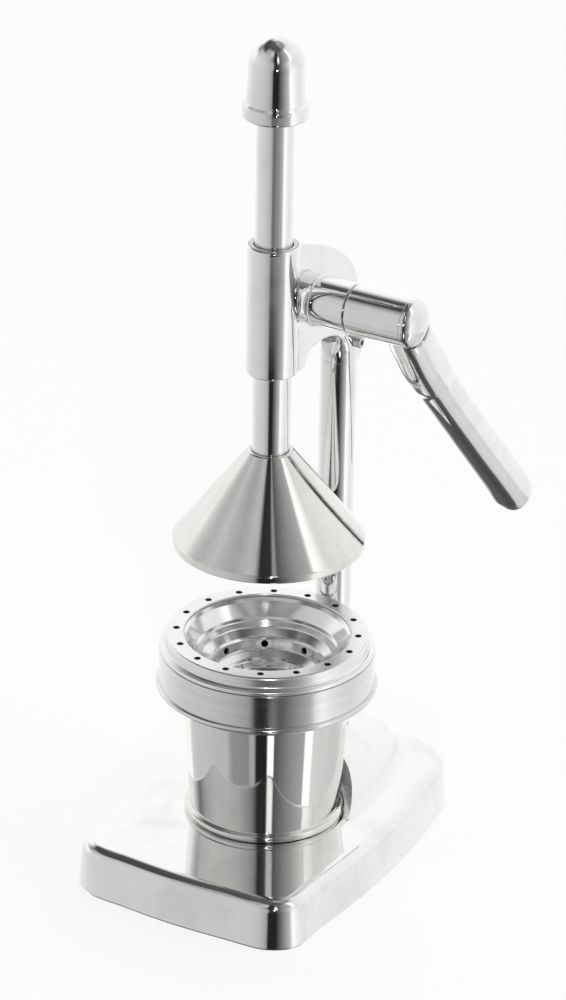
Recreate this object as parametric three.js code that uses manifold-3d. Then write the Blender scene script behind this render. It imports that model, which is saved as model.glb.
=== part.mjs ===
// Lever citrus juice press, modelled in millimetres with +Z up.
// The origin is on the ram's axis, on the surface that the base stands on. The lever is on the +X side,
// the front is -Y and the post stands at +Y.
import * as THREE from 'three';
import { mergeVertices } from 'three/addons/utils/BufferGeometryUtils.js';
import Module from 'manifold-3d';

const wasm = await Module();
wasm.setup();

// Running clearance, clearance of fixed pieces in their seats, and the overrun of cuts
const running_gap = 0.3;
const seat_gap = 0.3;
const fit_gap = 0.12;
const overrun = 2;
const edge_break = 0.8;

// Base casting and its non-slip pad
const base_half_width = 68.5;
const base_front = 91;
const base_behind_post = 48.1;
const base_top = 27;
const base_edge_round = 7;
const base_side_draft = 1.6;
const base_bottom_round = 1.2;
const pad_thickness = 2.4;
const pad_proud = 0.6;
const pad_margin = 5;
const hump_half_width = 42.5;
const hump_reach = 86;
const hump_centre_y = 25;
const hump_height = 23;
const cup_seat_gap = 4;

// Cup and its collar
const cup_foot_radius = 40.4;
const cup_foot_bead = 2.2;
const cup_bottom_radius = 36.9;
const cup_body_radius = 41.2;
const cup_shoulder_drop = 36.7;
const cup_lip_reach = 4.5;
const cup_mouth_radius = 53.4;
const cup_wall = 1.3;
const collar_wall = 1.9;
const collar_bead_radius = 1.7;
const collar_bead_drop = 27.9;
const collar_rise_share = 0.39;

// Strainer ring and bowl
const flange_rise = 101.3;
const flange_wall = 1.5;
const flange_land = 9;
const lid_inset = 0.4;
const lid_step = 3.3;
const lid_drop = 8.6;
const lid_skirt_drop = 14;
const lid_hole_land = 3.9;
const lid_hole_radius = 1.75;
const lid_hole_count = 16;
const lid_hole_turn = THREE.MathUtils.degToRad(4.2);
const bowl_lip = 1.6;
const bowl_wall = 1.2;
const bowl_depth = 35;
const bowl_hole_radius = 1.9;
const bowl_hole_count = 8;
const bowl_hole_turn = THREE.MathUtils.degToRad(33);
const bowl_hole_share = 0.615;

// Press bell and press cone
const press_opening = 51.5;
const bell_height = 51.7;
const bell_inset = 2.7;
const bell_neck_radius = 11.2;
const bell_lip_height = 3.6;
const bell_wall = 1.5;
const bell_washer_radius = 9;
const bell_washer_thickness = 1.4;
const cone_radius = 30;
const cone_neck_radius = 10;
const cone_drop = 16;
const cone_ribs = 12;
const cone_rib_height = 1.5;

// Post and what fastens it
const post_radius = 9.5;
const post_gap = 0.4;
const post_foot_depth = 14;
const post_spigot_radius = 6.8;
const post_spigot_length = 27;
const bolt_radius = 4;
const bolt_grip = 16;
const bolt_head_radius = 7.2;
const bolt_head_height = 5.2;
const bolt_washer_radius = 9.2;
const bolt_washer_thickness = 1.6;
const counterbore_radius = 10.4;
const counterbore_depth = 9.6;
const clamp_screw_radius = 2.4;
const clamp_head_radius = 3.3;
const clamp_head_height = 3.8;
const clamp_screw_rise = 10.6;
const hex_key_radius = 1.9;
const hex_key_depth = 2.6;

// Head casting: side plate, guide sleeve and boss
const ram_show = 25.5;
const head_half_thickness = 9.6;
const head_edge_round = 1.3;
const sleeve_radius = 13.3;
const sleeve_rise = 17;
const sleeve_length = 69;
const bush_wall = 1.7;
const bush_length = 16;
const bush_flange_thickness = 1.2;
const bush_flange_reach = 0.7;

// Ram, its knob and its rack
const ram_radius = 9.55;
const ram_rise = 93;
const ram_spigot_radius = 6;
const ram_spigot_length = 17;
const knob_roof = 15.2;
const knob_grip = 26.4;
const knob_radius = 14.8;
const knob_crown_radius = 14.1;
const knob_crown_height = 15.8;
const knob_skirt_radius = 16.6;
const knob_skirt_height = 7.4;
const tooth_module = 1.25;
const pinion_teeth = 20;
const pressure_angle = THREE.MathUtils.degToRad(20);
const rack_teeth_below = 5;
const rack_teeth_above = 16;
const rack_flat_depth = 0.45;
const tooth_play = 0.3;
const root_clearance_share = 0.3;

// Lever: pinion shaft, barrel, hub and arm
const barrel_drop = 34.4;
const barrel_radius = 12.75;
const boss_ring_step = 0.8;
const boss_ring_width = 2.4;
const boss_ring_start = 3.8;
const boss_length = 25.1;
const hub_length = 32.1;
const hub_cap_rise = 7.4;
const hub_cap_spigot_radius = 8;
const hub_cap_spigot_length = 5;
const shaft_radius = 6;
const pinion_width = 11;
const washer_thickness = 0.8;
const washer_radius = 11.6;
const barrel_bush_wall = 2.2;
const bearing_cap_radius = 16.4;
const bearing_cap_flange = 2.2;
const hub_screw_radius = 2.6;
const hub_screw_length = 6;
const hub_key_radius = 1.3;
const arm_inset = 4.6;
const arm_reach = 190;
const arm_width = 20.8;
const arm_depth = 21.4;

// Radii and places that follow from the sizes
const cup_seat_radius = cup_foot_radius + cup_seat_gap;
const collar_radius = cup_mouth_radius + collar_wall;
const lid_radius = collar_radius - lid_inset;
const flange_radius = lid_radius - lid_step;
const bowl_rim_radius = flange_radius - flange_land;
const bowl_lip_radius = bowl_rim_radius + bowl_lip;
const lid_hole_circle_radius = bowl_rim_radius + lid_hole_land;
const bell_radius = flange_radius - bell_inset;
const post_y = collar_radius + collar_bead_radius + post_gap + post_radius;
const base_back = post_y + base_behind_post;
const boss_end = head_half_thickness + boss_length;
const hub_end = boss_end + hub_length;
const hub_cap_end = hub_end + hub_cap_rise;
const arm_x = hub_end - arm_inset;
const bush_outer = ram_radius + running_gap + bush_wall;

// Levels, from the base up to the knob
const flange_z = base_top + flange_rise;
const collar_bead_z = flange_z - collar_bead_drop;
const cup_shoulder_z = flange_z - cup_shoulder_drop;
const mouth_z = flange_z - lid_drop - fit_gap;
const bell_bottom = flange_z + press_opening;
const bell_top = bell_bottom + bell_height;
const head_bottom = bell_top + ram_show;
const sleeve_bottom = head_bottom + sleeve_rise;
const sleeve_top = sleeve_bottom + sleeve_length;
const barrel_z = sleeve_top - barrel_drop;
const ram_top = sleeve_top + ram_rise;
const knob_bottom = ram_top - knob_grip;
const knob_top = ram_top + knob_roof;

// Rack and pinion in mesh at rest
const pitch_radius = tooth_module * pinion_teeth / 2;
const rack_tip_y = ram_radius - rack_flat_depth;
const rack_pitch_y = rack_tip_y - tooth_module;
const rack_root_y = rack_pitch_y - tooth_module * (1 + root_clearance_share);
const pinion_axis_y = rack_pitch_y + pitch_radius;
const pitch = Math.PI * tooth_module;
const pinion_tip_radius = pitch_radius + tooth_module;
const pinion_cavity_radius = pinion_tip_radius + 2 * running_gap;

// Finishes
const finish = (color, roughness, metalness) => (
  new THREE.MeshStandardMaterial({ color, roughness, metalness })
);
const chrome = finish(0xe2e3e4, 0.08, 1);
const polished_steel = finish(0xd6d7d5, 0.12, 1);
const brushed_steel = finish(0xc9cac8, 0.32, 1);
const machined_steel = finish(0xa9abad, 0.3, 1);
const bronze = finish(0xa9864d, 0.35, 1);
const black_rubber = finish(0x1d1d1e, 0.85, 0);
const satin_aluminium = finish(0xb9bbbd, 0.4, 1);

// Numbers of sides of turned pieces
const round_sides = 20;
const small_sides = 12;
const cup_sides = 32;
const bell_sides = 30;
const bowl_sides = 26;
const hole_sides = 8;
const plan_sides = 40;

// A closed geometry as a solid: equal corners merged, slivers left out, faces turned outwards
function solid(geometry) {
  const bare = geometry.index ? geometry.toNonIndexed() : geometry;
  bare.deleteAttribute('normal');
  bare.deleteAttribute('uv');
  const merged = mergeVertices(bare);
  const place = merged.attributes.position;
  const corners = [0, 1, 2].map(() => new THREE.Vector3());
  const kept = [];
  let volume = 0;
  for (let i = 0; i < merged.index.count; i += 3) {
    const ids = [0, 1, 2].map((k) => merged.index.getX(i + k));
    if (new Set(ids).size < 3) continue;
    ids.forEach((id, k) => corners[k].fromBufferAttribute(place, id));
    volume += corners[0].dot(corners[1].clone().cross(corners[2]));
    kept.push(ids);
  }
  const triangles = volume < 0 ? kept.map(([a, b, c]) => [a, c, b]) : kept;
  const mesh = new wasm.Mesh({
    numProp: 3,
    vertProperties: new Float32Array(place.array),
    triVerts: new Uint32Array(triangles.flat()),
  });
  return new wasm.Manifold(mesh);
}

function named(name, body, material) {
  const { vertProperties, triVerts } = body.getMesh();
  const geometry = new THREE.BufferGeometry();
  geometry.setAttribute('position', new THREE.BufferAttribute(new Float32Array(vertProperties), 3));
  geometry.setIndex(new THREE.BufferAttribute(new Uint32Array(triVerts), 1));
  geometry.computeVertexNormals();
  const mesh = new THREE.Mesh(geometry, material);
  mesh.name = name;
  return mesh;
}

// Revolved solid about +Z from a profile of [radius, height] points, closed by its first point or the axis
function turned(profile, sides = round_sides) {
  const points = profile.map(([radius, height]) => new THREE.Vector2(radius, height));
  const onAxis = profile[0][0] === 0 && profile[profile.length - 1][0] === 0;
  if (!onAxis) points.push(points[0].clone());
  return new THREE.LatheGeometry(points, sides).rotateX(Math.PI / 2);
}

function pin(radius, low, high, sides = round_sides) {
  return turned([[0, low], [radius, low], [radius, high], [0, high]], sides);
}

function tube(inner, outer, low, high, sides = round_sides) {
  return turned([[inner, low], [outer, low], [outer, high], [inner, high]], sides);
}

// Turns a solid's +Z to +X and puts it on the barrel's axis
function onBarrel(geometry) {
  return geometry.rotateY(Math.PI / 2).translate(0, pinion_axis_y, barrel_z);
}

// Outline in the (y, z) plane, drawn out along x between two faces
function sidePlate(shape, low, high, round = 0) {
  const bevel = {
    bevelEnabled: round > 0, bevelThickness: round, bevelSize: round, bevelOffset: -round, bevelSegments: 2,
  };
  const options = { depth: high - low - 2 * round, curveSegments: 10, ...bevel };
  const upright = new THREE.Matrix4().makeBasis(
    new THREE.Vector3(0, 1, 0), new THREE.Vector3(0, 0, 1), new THREE.Vector3(1, 0, 0));
  return new THREE.ExtrudeGeometry(shape, options).applyMatrix4(upright).translate(low + round, 0, 0);
}

// Closed skin over rings of points that all have the same count, with flat or pointed ends
function lofted(rings) {
  const count = rings[0].length;
  const places = rings.flat().flatMap((p) => [p.x, p.y, p.z]);
  const faces = [];
  for (let r = 0; r + 1 < rings.length; r += 1) {
    for (let i = 0; i < count; i += 1) {
      const a = r * count + i;
      const b = r * count + ((i + 1) % count);
      faces.push(a, b, b + count, a, b + count, a + count);
    }
  }
  for (const [ring, flip] of [[0, true], [rings.length - 1, false]]) {
    const middle = rings[ring].reduce((sum, p) => sum.add(p), new THREE.Vector3()).divideScalar(count);
    const hub = places.length / 3;
    places.push(middle.x, middle.y, middle.z);
    for (let i = 0; i < count; i += 1) {
      const a = ring * count + i;
      const b = ring * count + ((i + 1) % count);
      faces.push(...(flip ? [b, a, hub] : [a, b, hub]));
    }
  }
  const geometry = new THREE.BufferGeometry();
  geometry.setAttribute('position', new THREE.Float32BufferAttribute(places, 3));
  geometry.setIndex(faces);
  return geometry;
}

// Quarter round from one direction to another about a centre, as profile points
function arc(centre, radius, from, to, steps = 4) {
  const points = [];
  for (let i = 0; i <= steps; i += 1) {
    const angle = THREE.MathUtils.degToRad(from + (to - from) * i / steps);
    points.push([centre[0] + radius * Math.cos(angle), centre[1] + radius * Math.sin(angle)]);
  }
  return points;
}

// Base plan: front, corner, side and back points as shares of the half width and of the front and back reach
const base_plan_shares = [
  [0, -1], [0.44, -0.985], [0.78, -0.95], [0.935, -0.83], [0.975, -0.55], [1, -0.1],
  [0.975, 0.28], [0.9, 0.6], [0.8, 0.84], [0.6, 0.96], [0.3, 0.995], [0, 1],
];

function basePlan() {
  const place = ([x, y]) => new THREE.Vector3(x * base_half_width, y * (y < 0 ? base_front : base_back), 0);
  const right = base_plan_shares.map(place);
  const left = right.slice(1, -1).reverse().map((p) => new THREE.Vector3(-p.x, p.y, 0));
  return new THREE.CatmullRomCurve3([...right, ...left], true, 'centripetal');
}

// Ring of points of the base plan, moved in by an inset and set at a height
function baseRing(inset, height, count = plan_sides) {
  const plan = basePlan();
  const ring = [];
  for (let i = 0; i < count; i += 1) {
    const point = plan.getPoint(i / count);
    const along = plan.getTangent(i / count);
    ring.push(new THREE.Vector3(point.x - along.y * inset, point.y + along.x * inset, height));
  }
  return ring;
}

function baseSlab() {
  const foot = pad_proud;
  const shoulder = base_top - base_edge_round;
  const rounds = [22, 50, 90].map((angle) => {
    const turn = THREE.MathUtils.degToRad(angle);
    const inset = base_side_draft + base_edge_round * (1 - Math.cos(turn));
    return baseRing(inset, shoulder + base_edge_round * Math.sin(turn));
  });
  return lofted([
    baseRing(base_bottom_round, foot), baseRing(0, foot + base_bottom_round),
    baseRing(base_side_draft, shoulder), ...rounds,
  ]);
}

// Half ellipsoid behind the cup, cut by the cup's round seat
function baseHump() {
  const dome = new THREE.SphereGeometry(1, round_sides, small_sides).rotateX(Math.PI / 2);
  dome.scale(hump_half_width, hump_reach, hump_height).translate(0, hump_centre_y, base_top);
  const below = new THREE.BoxGeometry(3 * hump_half_width, 3 * hump_reach, hump_height);
  below.translate(0, hump_centre_y, base_top - base_edge_round - hump_height / 2);
  const seat = pin(cup_seat_radius, base_top, base_top + hump_height + overrun, plan_sides);
  const front = new THREE.BoxGeometry(3 * hump_half_width, hump_reach, 3 * hump_height);
  front.translate(0, -hump_reach / 2, base_top + hump_height / 2);
  return solid(dome).subtract(solid(below)).subtract(solid(seat)).subtract(solid(front));
}

function baseCasting() {
  const post_hole = pin(post_radius + fit_gap, postFoot(), base_top + hump_height + overrun);
  const bolt_hole = pin(bolt_radius + seat_gap, 0, postFoot() + overrun, small_sides);
  const counterbore = pin(counterbore_radius, 0, pad_proud + counterbore_depth);
  const pad_seat = lofted([baseRing(pad_margin, 0), baseRing(pad_margin, padTop() + fit_gap)]);
  const on_post = (geometry) => solid(geometry.translate(0, post_y, 0));
  return solid(baseSlab()).add(baseHump()).subtract(solid(pad_seat))
    .subtract(on_post(post_hole)).subtract(on_post(bolt_hole)).subtract(on_post(counterbore));
}

function padTop() {
  return pad_thickness;
}

function postFoot() {
  return base_top - post_foot_depth + seat_gap;
}

function basePad() {
  const sheet = lofted([baseRing(pad_margin + fit_gap, 0), baseRing(pad_margin + fit_gap, padTop())]);
  const hole = pin(counterbore_radius, -overrun, padTop() + overrun).translate(0, post_y, 0);
  return solid(sheet).subtract(solid(hole));
}

function post() {
  const foot = postFoot() + fit_gap;
  const shoulder = head_bottom - seat_gap;
  const column = turned([
    [0, foot], [post_radius, foot], [post_radius, shoulder], [post_spigot_radius, shoulder],
    [post_spigot_radius, shoulder + post_spigot_length - edge_break],
    [post_spigot_radius - edge_break, shoulder + post_spigot_length], [0, shoulder + post_spigot_length],
  ]);
  const thread = pin(bolt_radius + fit_gap, foot - overrun, boltTip() + seat_gap, small_sides);
  return solid(column.translate(0, post_y, 0)).subtract(solid(thread.translate(0, post_y, 0)));
}

function boltSeat() {
  return pad_proud + counterbore_depth - fit_gap;
}

function boltTip() {
  return boltSeat() + bolt_grip;
}

function postWasher() {
  const high = boltSeat();
  const low = high - bolt_washer_thickness;
  const ring = tube(bolt_radius + seat_gap, bolt_washer_radius, low, high, small_sides);
  return solid(ring.translate(0, post_y, 0));
}

function hexPin(radius, low, high) {
  return pin(radius, low, high, 6);
}

function postBolt() {
  const under_head = boltSeat() - bolt_washer_thickness - fit_gap;
  const shank = pin(bolt_radius, under_head - edge_break, boltTip(), small_sides);
  const head = hexPin(bolt_head_radius, under_head - bolt_head_height, under_head);
  return solid(shank.translate(0, post_y, 0)).add(solid(head.translate(0, post_y, 0)));
}

// Side outline of the head: crown, back and arch as shares of its depth and of its height
const head_crown_shares = [
  [0.077, 0.99], [0.3, 0.927], [0.54, 0.834], [0.736, 0.723], [0.835, 0.63], [0.9, 0.52],
  [0.962, 0.33], [0.999, 0.13], [0.992, 0.055], [0.955, 0.01], [0.9, 0],
];
const head_arch_shares = [
  [0.751, 0], [0.745, 0.06], [0.733, 0.12], [0.705, 0.18], [0.634, 0.231], [0.483, 0.268], [0.3, 0.262],
  [0.253, 0.24], [0.229, 0.185], [0.175, 0.165],
];

function headPlate() {
  const depth = post_y + post_radius;
  const height = sleeve_top - head_bottom;
  const place = ([y, z]) => new THREE.Vector2(y * depth, head_bottom + z * height);
  const crown = new THREE.SplineCurve(head_crown_shares.map(place)).getPoints(14);
  const arch = new THREE.SplineCurve(head_arch_shares.map(place)).getPoints(12);
  const front = [sleeve_bottom + edge_break, sleeve_top - edge_break].map((z) => new THREE.Vector2(0, z));
  const shape = new THREE.Shape([...front, ...crown, ...arch]);
  return sidePlate(shape, -head_half_thickness, head_half_thickness, head_edge_round);
}

function sleeve() {
  return turned([
    [0, sleeve_bottom], [sleeve_radius - edge_break, sleeve_bottom],
    [sleeve_radius, sleeve_bottom + edge_break], [sleeve_radius, sleeve_top - edge_break],
    [sleeve_radius - edge_break, sleeve_top], [0, sleeve_top],
  ]);
}

function boss() {
  const face = head_half_thickness;
  const root = (pinion_width / 2 + running_gap + face) / 2;
  const low = face + boss_ring_start;
  const high = low + boss_ring_width;
  const ring_radius = barrel_radius + boss_ring_step;
  return onBarrel(turned([
    [0, root], [barrel_radius, root], [barrel_radius, low], [ring_radius, low + boss_ring_step / 2],
    [ring_radius, high - boss_ring_step / 2], [barrel_radius, high], [barrel_radius, boss_end], [0, boss_end],
  ]));
}

function headCasting() {
  const ram_bore = pin(ram_radius + 2 * running_gap, sleeve_bottom - overrun, sleeve_top + overrun);
  const shaft_bore = onBarrel(pin(barrelBushOuter() + fit_gap, 0, boss_end + overrun));
  const spigot_top = head_bottom + post_spigot_length + seat_gap;
  const socket = pin(post_spigot_radius + fit_gap, head_bottom - overrun, spigot_top).translate(0, post_y, 0);
  const hole_radius = clamp_screw_radius + fit_gap;
  const screw_hole = clampScrewPlace(pin(hole_radius, 0, head_half_thickness + overrun, small_sides));
  const plate = solid(headPlate()).subtract(pinionCavity(overrun));
  const guide = solid(sleeve()).subtract(pinionCavity(2 * fit_gap));
  let casting = plate.add(guide).add(solid(boss()));
  const cuts = [ram_bore, shaft_bore, socket, screw_hole, bushSeat(1), bushSeat(-1), legEdge(1), legEdge(-1)];
  for (const cut of cuts) {
    casting = casting.subtract(solid(cut));
  }
  return casting;
}

// Cutter for one front edge of the post's leg: as round as the post at the foot, fading out under the arch
const leg_round_shares = [[-0.15, 1], [0.4, 1], [0.75, 0.75], [1, 0.4]];

function legEdge(side) {
  const front = post_y - head_half_thickness;
  return lofted(leg_round_shares.map(([rise, share]) => {
    const height = head_bottom + rise * sleeve_rise;
    const round = share * head_half_thickness;
    const out = share * overrun;
    const corner = [head_half_thickness - round, front + round];
    const outside = head_half_thickness + out;
    const outline = [
      [corner[0], front - out], [outside, front - out], [outside, corner[1]],
      ...arc(corner, round, 0, -90, 4),
    ];
    return outline.map(([x, y]) => new THREE.Vector3(side * x, y, height));
  }));
}

// Room for the pinion, open on the head's far side by an overrun
function pinionCavity(outside) {
  const inner_face = pinion_width / 2 + running_gap;
  return solid(onBarrel(pin(pinion_cavity_radius, -head_half_thickness - outside, inner_face)));
}

// Seat of a guide bush at the sleeve's top end (side 1) or bottom end (side -1)
function bushSeat(side) {
  const face = side > 0 ? sleeve_top : sleeve_bottom;
  const deep = face - side * (bush_length + fit_gap);
  const flange = face - side * (bush_flange_thickness + fit_gap);
  const out = face + side * overrun;
  const seat_radius = bush_outer + fit_gap;
  const flange_seat_radius = seat_radius + bush_flange_reach;
  return turned([
    [0, deep], [seat_radius, deep], [seat_radius, flange],
    [flange_seat_radius, flange], [flange_seat_radius, out], [0, out],
  ]);
}

function guideBush(side) {
  const face = side > 0 ? sleeve_top : sleeve_bottom;
  const deep = face - side * bush_length;
  const flange = face - side * bush_flange_thickness;
  const bore = ram_radius + running_gap;
  return solid(turned([
    [bore, deep], [bush_outer, deep], [bush_outer, flange], [bush_outer + bush_flange_reach, flange],
    [bush_outer + bush_flange_reach, face], [bore, face],
  ]));
}

function clampScrewPlace(geometry) {
  return geometry.rotateY(Math.PI / 2).translate(0, post_y, head_bottom + clamp_screw_rise);
}

function postClampScrew() {
  const inside = post_spigot_radius + fit_gap;
  const face = head_half_thickness + fit_gap;
  const outside = face + clamp_head_height;
  const body = clampScrewPlace(turned([
    [0, inside], [clamp_screw_radius, inside], [clamp_screw_radius, face],
    [clamp_head_radius, face], [clamp_head_radius, outside - edge_break / 2],
    [clamp_head_radius - edge_break / 2, outside], [0, outside],
  ], small_sides));
  const key = clampScrewPlace(hexPin(hex_key_radius, outside - hex_key_depth, outside + overrun));
  return solid(body).subtract(solid(key));
}

function barrelBushOuter() {
  return shaft_radius + running_gap + barrel_bush_wall;
}

function barrelBush() {
  const inner_end = pinion_width / 2 + 2 * running_gap;
  const bore = shaft_radius + running_gap;
  const ring = tube(bore, barrelBushOuter(), inner_end, boss_end - fit_gap, small_sides);
  return solid(onBarrel(ring));
}

// Cap of the pinion's room: its spigot clears the ram, its flange clears the sleeve
function bearingCap() {
  const face = -head_half_thickness - fit_gap;
  const inner = -pinion_width / 2 - 2 * running_gap;
  const outer = face - bearing_cap_flange;
  const spigot = pin(pinion_cavity_radius - fit_gap, inner, face);
  const flange = turned([
    [0, face], [bearing_cap_radius, face], [bearing_cap_radius, outer + edge_break],
    [bearing_cap_radius - edge_break, outer], [bearing_cap_radius / 2, outer + edge_break / 2],
    [0, outer + edge_break / 2],
  ]);
  const beside = (radius) => solid(pin(radius, barrel_z - 2 * barrel_radius, barrel_z + 2 * barrel_radius));
  const bore = pin(shaft_radius + running_gap, shaftEnd() - seat_gap, inner + overrun);
  return solid(onBarrel(spigot)).subtract(beside(ram_radius + 2 * running_gap))
    .add(solid(onBarrel(flange)).subtract(beside(sleeve_radius + seat_gap))).subtract(solid(onBarrel(bore)));
}

function shaftEnd() {
  return -head_half_thickness - bearing_cap_flange / 2;
}

// Rack cut in the back of the round bar: at rest one tooth is level with the pinion's axis
function rackCutter() {
  const half_tip = pitch / 4 - tooth_play / 4 - tooth_module * Math.tan(pressure_angle);
  const flank = (rack_tip_y - rack_root_y) * Math.tan(pressure_angle);
  const outside = ram_radius + overrun;
  const start = barrel_z - (rack_teeth_below + 0.5) * pitch - flank;
  const end = barrel_z + (rack_teeth_above + 0.5) * pitch + flank;
  const shape = new THREE.Shape();
  shape.moveTo(outside, start);
  shape.lineTo(rack_root_y, start);
  for (let i = -rack_teeth_below; i <= rack_teeth_above; i += 1) {
    const centre = barrel_z + i * pitch;
    shape.lineTo(rack_root_y, centre - half_tip - flank);
    shape.lineTo(rack_tip_y, centre - half_tip);
    shape.lineTo(rack_tip_y, centre + half_tip);
    shape.lineTo(rack_root_y, centre + half_tip + flank);
  }
  shape.lineTo(rack_root_y, end);
  shape.lineTo(outside, end);
  return sidePlate(shape, -ram_radius - overrun, ram_radius + overrun);
}

function ramRod() {
  const shoulder = bell_top - bell_wall;
  const spigot_end = shoulder - ram_spigot_length;
  const bar = turned([
    [0, spigot_end], [ram_spigot_radius - edge_break, spigot_end],
    [ram_spigot_radius, spigot_end + edge_break], [ram_spigot_radius, shoulder],
    [ram_radius, shoulder], [ram_radius, ram_top - edge_break],
    [ram_radius - edge_break, ram_top], [0, ram_top],
  ]);
  return solid(bar).subtract(solid(rackCutter()));
}

function ramKnob() {
  const skirt_top = knob_bottom + knob_skirt_height;
  const crown = knob_top - knob_crown_height;
  const round = 2 * edge_break;
  const body = turned([
    [0, knob_bottom], [knob_skirt_radius - edge_break, knob_bottom],
    [knob_skirt_radius, knob_bottom + edge_break], [knob_skirt_radius, skirt_top - round],
    ...arc([knob_skirt_radius - round, skirt_top - round], round, 0, 60, 2).slice(1),
    [knob_radius, skirt_top + edge_break], [knob_crown_radius, crown],
    ...crownPoints(knob_crown_radius, crown, knob_top, 5).slice(1),
  ]);
  const bore = pin(ram_radius + fit_gap, knob_bottom - overrun, ram_top + seat_gap);
  return solid(body).subtract(solid(bore));
}

// Elliptic crown from a side radius up to the top on the axis
function crownPoints(radius, low, high, steps) {
  const points = [];
  for (let i = 0; i <= steps; i += 1) {
    const angle = Math.PI / 2 * i / steps;
    points.push([i === steps ? 0 : radius * Math.cos(angle), low + (high - low) * Math.sin(angle)]);
  }
  return points;
}

// Involute flank: half angle of a tooth at a radius
function toothHalfAngle(radius) {
  const base_radius = pitch_radius * Math.cos(pressure_angle);
  const involute = (angle) => Math.tan(angle) - angle;
  const thickness = pitch / 2 - tooth_play / 2;
  const at = Math.acos(Math.min(1, base_radius / radius));
  return thickness / (2 * pitch_radius) + involute(pressure_angle) - involute(at);
}

function pinionShape() {
  const root_radius = pitch_radius - tooth_module * (1 + root_clearance_share);
  const flank_radii = [0, 0.45, 1].map((share) => {
    const low = pitch_radius * Math.cos(pressure_angle);
    return low + (pinion_tip_radius - low) * share;
  });
  const points = [];
  const put = (radius, angle) => {
    points.push(new THREE.Vector2(radius * Math.cos(angle), radius * Math.sin(angle)));
  };
  const step = 2 * Math.PI / pinion_teeth;
  for (let tooth = 0; tooth < pinion_teeth; tooth += 1) {
    const middle = pinionPhase() + tooth * step;
    put(root_radius, middle - toothHalfAngle(flank_radii[0]));
    flank_radii.forEach((radius) => put(radius, middle - toothHalfAngle(radius)));
    [...flank_radii].reverse().forEach((radius) => put(radius, middle + toothHalfAngle(radius)));
    put(root_radius, middle + toothHalfAngle(flank_radii[0]));
  }
  return new THREE.Shape(points);
}

// A gap of the pinion faces the rack tooth that is level with its axis
function pinionPhase() {
  return Math.PI + Math.PI / pinion_teeth;
}

function pinionShaft() {
  const teeth = sidePlate(pinionShape(), -pinion_width / 2, pinion_width / 2);
  teeth.translate(0, pinion_axis_y, barrel_z);
  const shaft_out = hub_end - hub_cap_spigot_length - 2 * seat_gap;
  const shaft = onBarrel(turned([
    [0, shaftEnd()], [shaft_radius - edge_break, shaftEnd()], [shaft_radius, shaftEnd() + edge_break],
    [shaft_radius, shaft_out - edge_break], [shaft_radius - edge_break, shaft_out], [0, shaft_out],
  ]));
  return solid(teeth).add(solid(shaft));
}

function hubStart() {
  return boss_end + washer_thickness + 2 * fit_gap;
}

function thrustWasher() {
  const low = boss_end + fit_gap;
  const high = low + washer_thickness;
  return solid(onBarrel(tube(shaft_radius + running_gap, washer_radius, low, high, small_sides)));
}

// Sections of the arm: share of its length, shares of its width and depth, and squareness
const arm_section_shares = [
  [0, 0.9, 1, 2.4], [0.1, 1, 1.1, 2.6], [0.24, 1.02, 1.13, 3], [0.3, 1, 1.1, 3], [0.325, 0.96, 1.01, 3],
  [0.42, 0.95, 0.98, 3], [0.65, 0.97, 0.98, 3], [0.85, 1.02, 1, 3], [0.94, 1.06, 1.03, 3],
  [0.975, 1.02, 0.98, 2.8], [0.993, 0.88, 0.84, 2.6], [1, 0.66, 0.63, 2.4],
];
const arm_line_shares = [[0, 0], [0.155, -0.209], [0.374, -0.452], [0.586, -0.679], [0.672, -0.774]];

function arm() {
  const places = arm_line_shares.map(([y, z]) => new THREE.Vector3(0, y * arm_reach, z * arm_reach));
  const line = new THREE.CatmullRomCurve3(places, false, 'centripetal');
  const sides = 16;
  const rings = arm_section_shares.map(([share, wide, deep, square]) => {
    const centre = line.getPointAt(share);
    const along = line.getTangentAt(share);
    const across = new THREE.Vector3(0, -along.z, along.y);
    const ring = [];
    for (let i = 0; i < sides; i += 1) {
      const angle = 2 * Math.PI * i / sides;
      const c = Math.cos(angle);
      const s = Math.sin(angle);
      const reach = (Math.abs(c) ** square + Math.abs(s) ** square) ** (-1 / square);
      const point = across.clone().multiplyScalar(reach * s * deep * arm_depth / 2).add(centre);
      point.x = arm_x + reach * c * wide * arm_width / 2;
      ring.push(point.add(new THREE.Vector3(0, pinion_axis_y, barrel_z)));
    }
    return ring;
  });
  return lofted(rings);
}

function leverArm() {
  const start = hubStart();
  const hub = onBarrel(turned([
    [0, start], [barrel_radius - edge_break / 2, start], [barrel_radius, start + edge_break / 2],
    [barrel_radius, hub_end - edge_break / 2], [barrel_radius - edge_break / 2, hub_end], [0, hub_end],
  ]));
  const shaft_bore = onBarrel(pin(shaft_radius + fit_gap, start - overrun, hub_end + overrun));
  const cap_depth = hub_end - hub_cap_spigot_length - fit_gap;
  const cap_seat = onBarrel(pin(hub_cap_spigot_radius + fit_gap, cap_depth, hub_end + overrun));
  return solid(arm()).subtract(solid(capClear())).add(solid(hub))
    .subtract(solid(shaft_bore)).subtract(solid(cap_seat)).subtract(solid(hubScrewHole()));
}

// Room round the end cap, which the arm's root passes under
function capClear() {
  return onBarrel(pin(barrel_radius + seat_gap, hub_end, hub_cap_end + overrun));
}

function hubCap() {
  const low = hub_end + fit_gap;
  const spigot_end = low - hub_cap_spigot_length;
  const body = turned([
    [0, spigot_end], [hub_cap_spigot_radius, spigot_end], [hub_cap_spigot_radius, low],
    [barrel_radius - edge_break / 2, low], [barrel_radius, low + edge_break / 2],
    [barrel_radius, low + edge_break],
    ...crownPoints(barrel_radius, low + edge_break, hub_cap_end, 5).slice(1),
  ]);
  return solid(onBarrel(body));
}

// Screw that fixes the hub on the shaft, on the hub's back side
function hubScrewPlace(geometry) {
  const middle = (hubStart() + hub_end) / 2;
  return geometry.rotateX(-Math.PI / 2).translate(middle - hub_screw_length / 2, pinion_axis_y, barrel_z);
}

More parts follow.
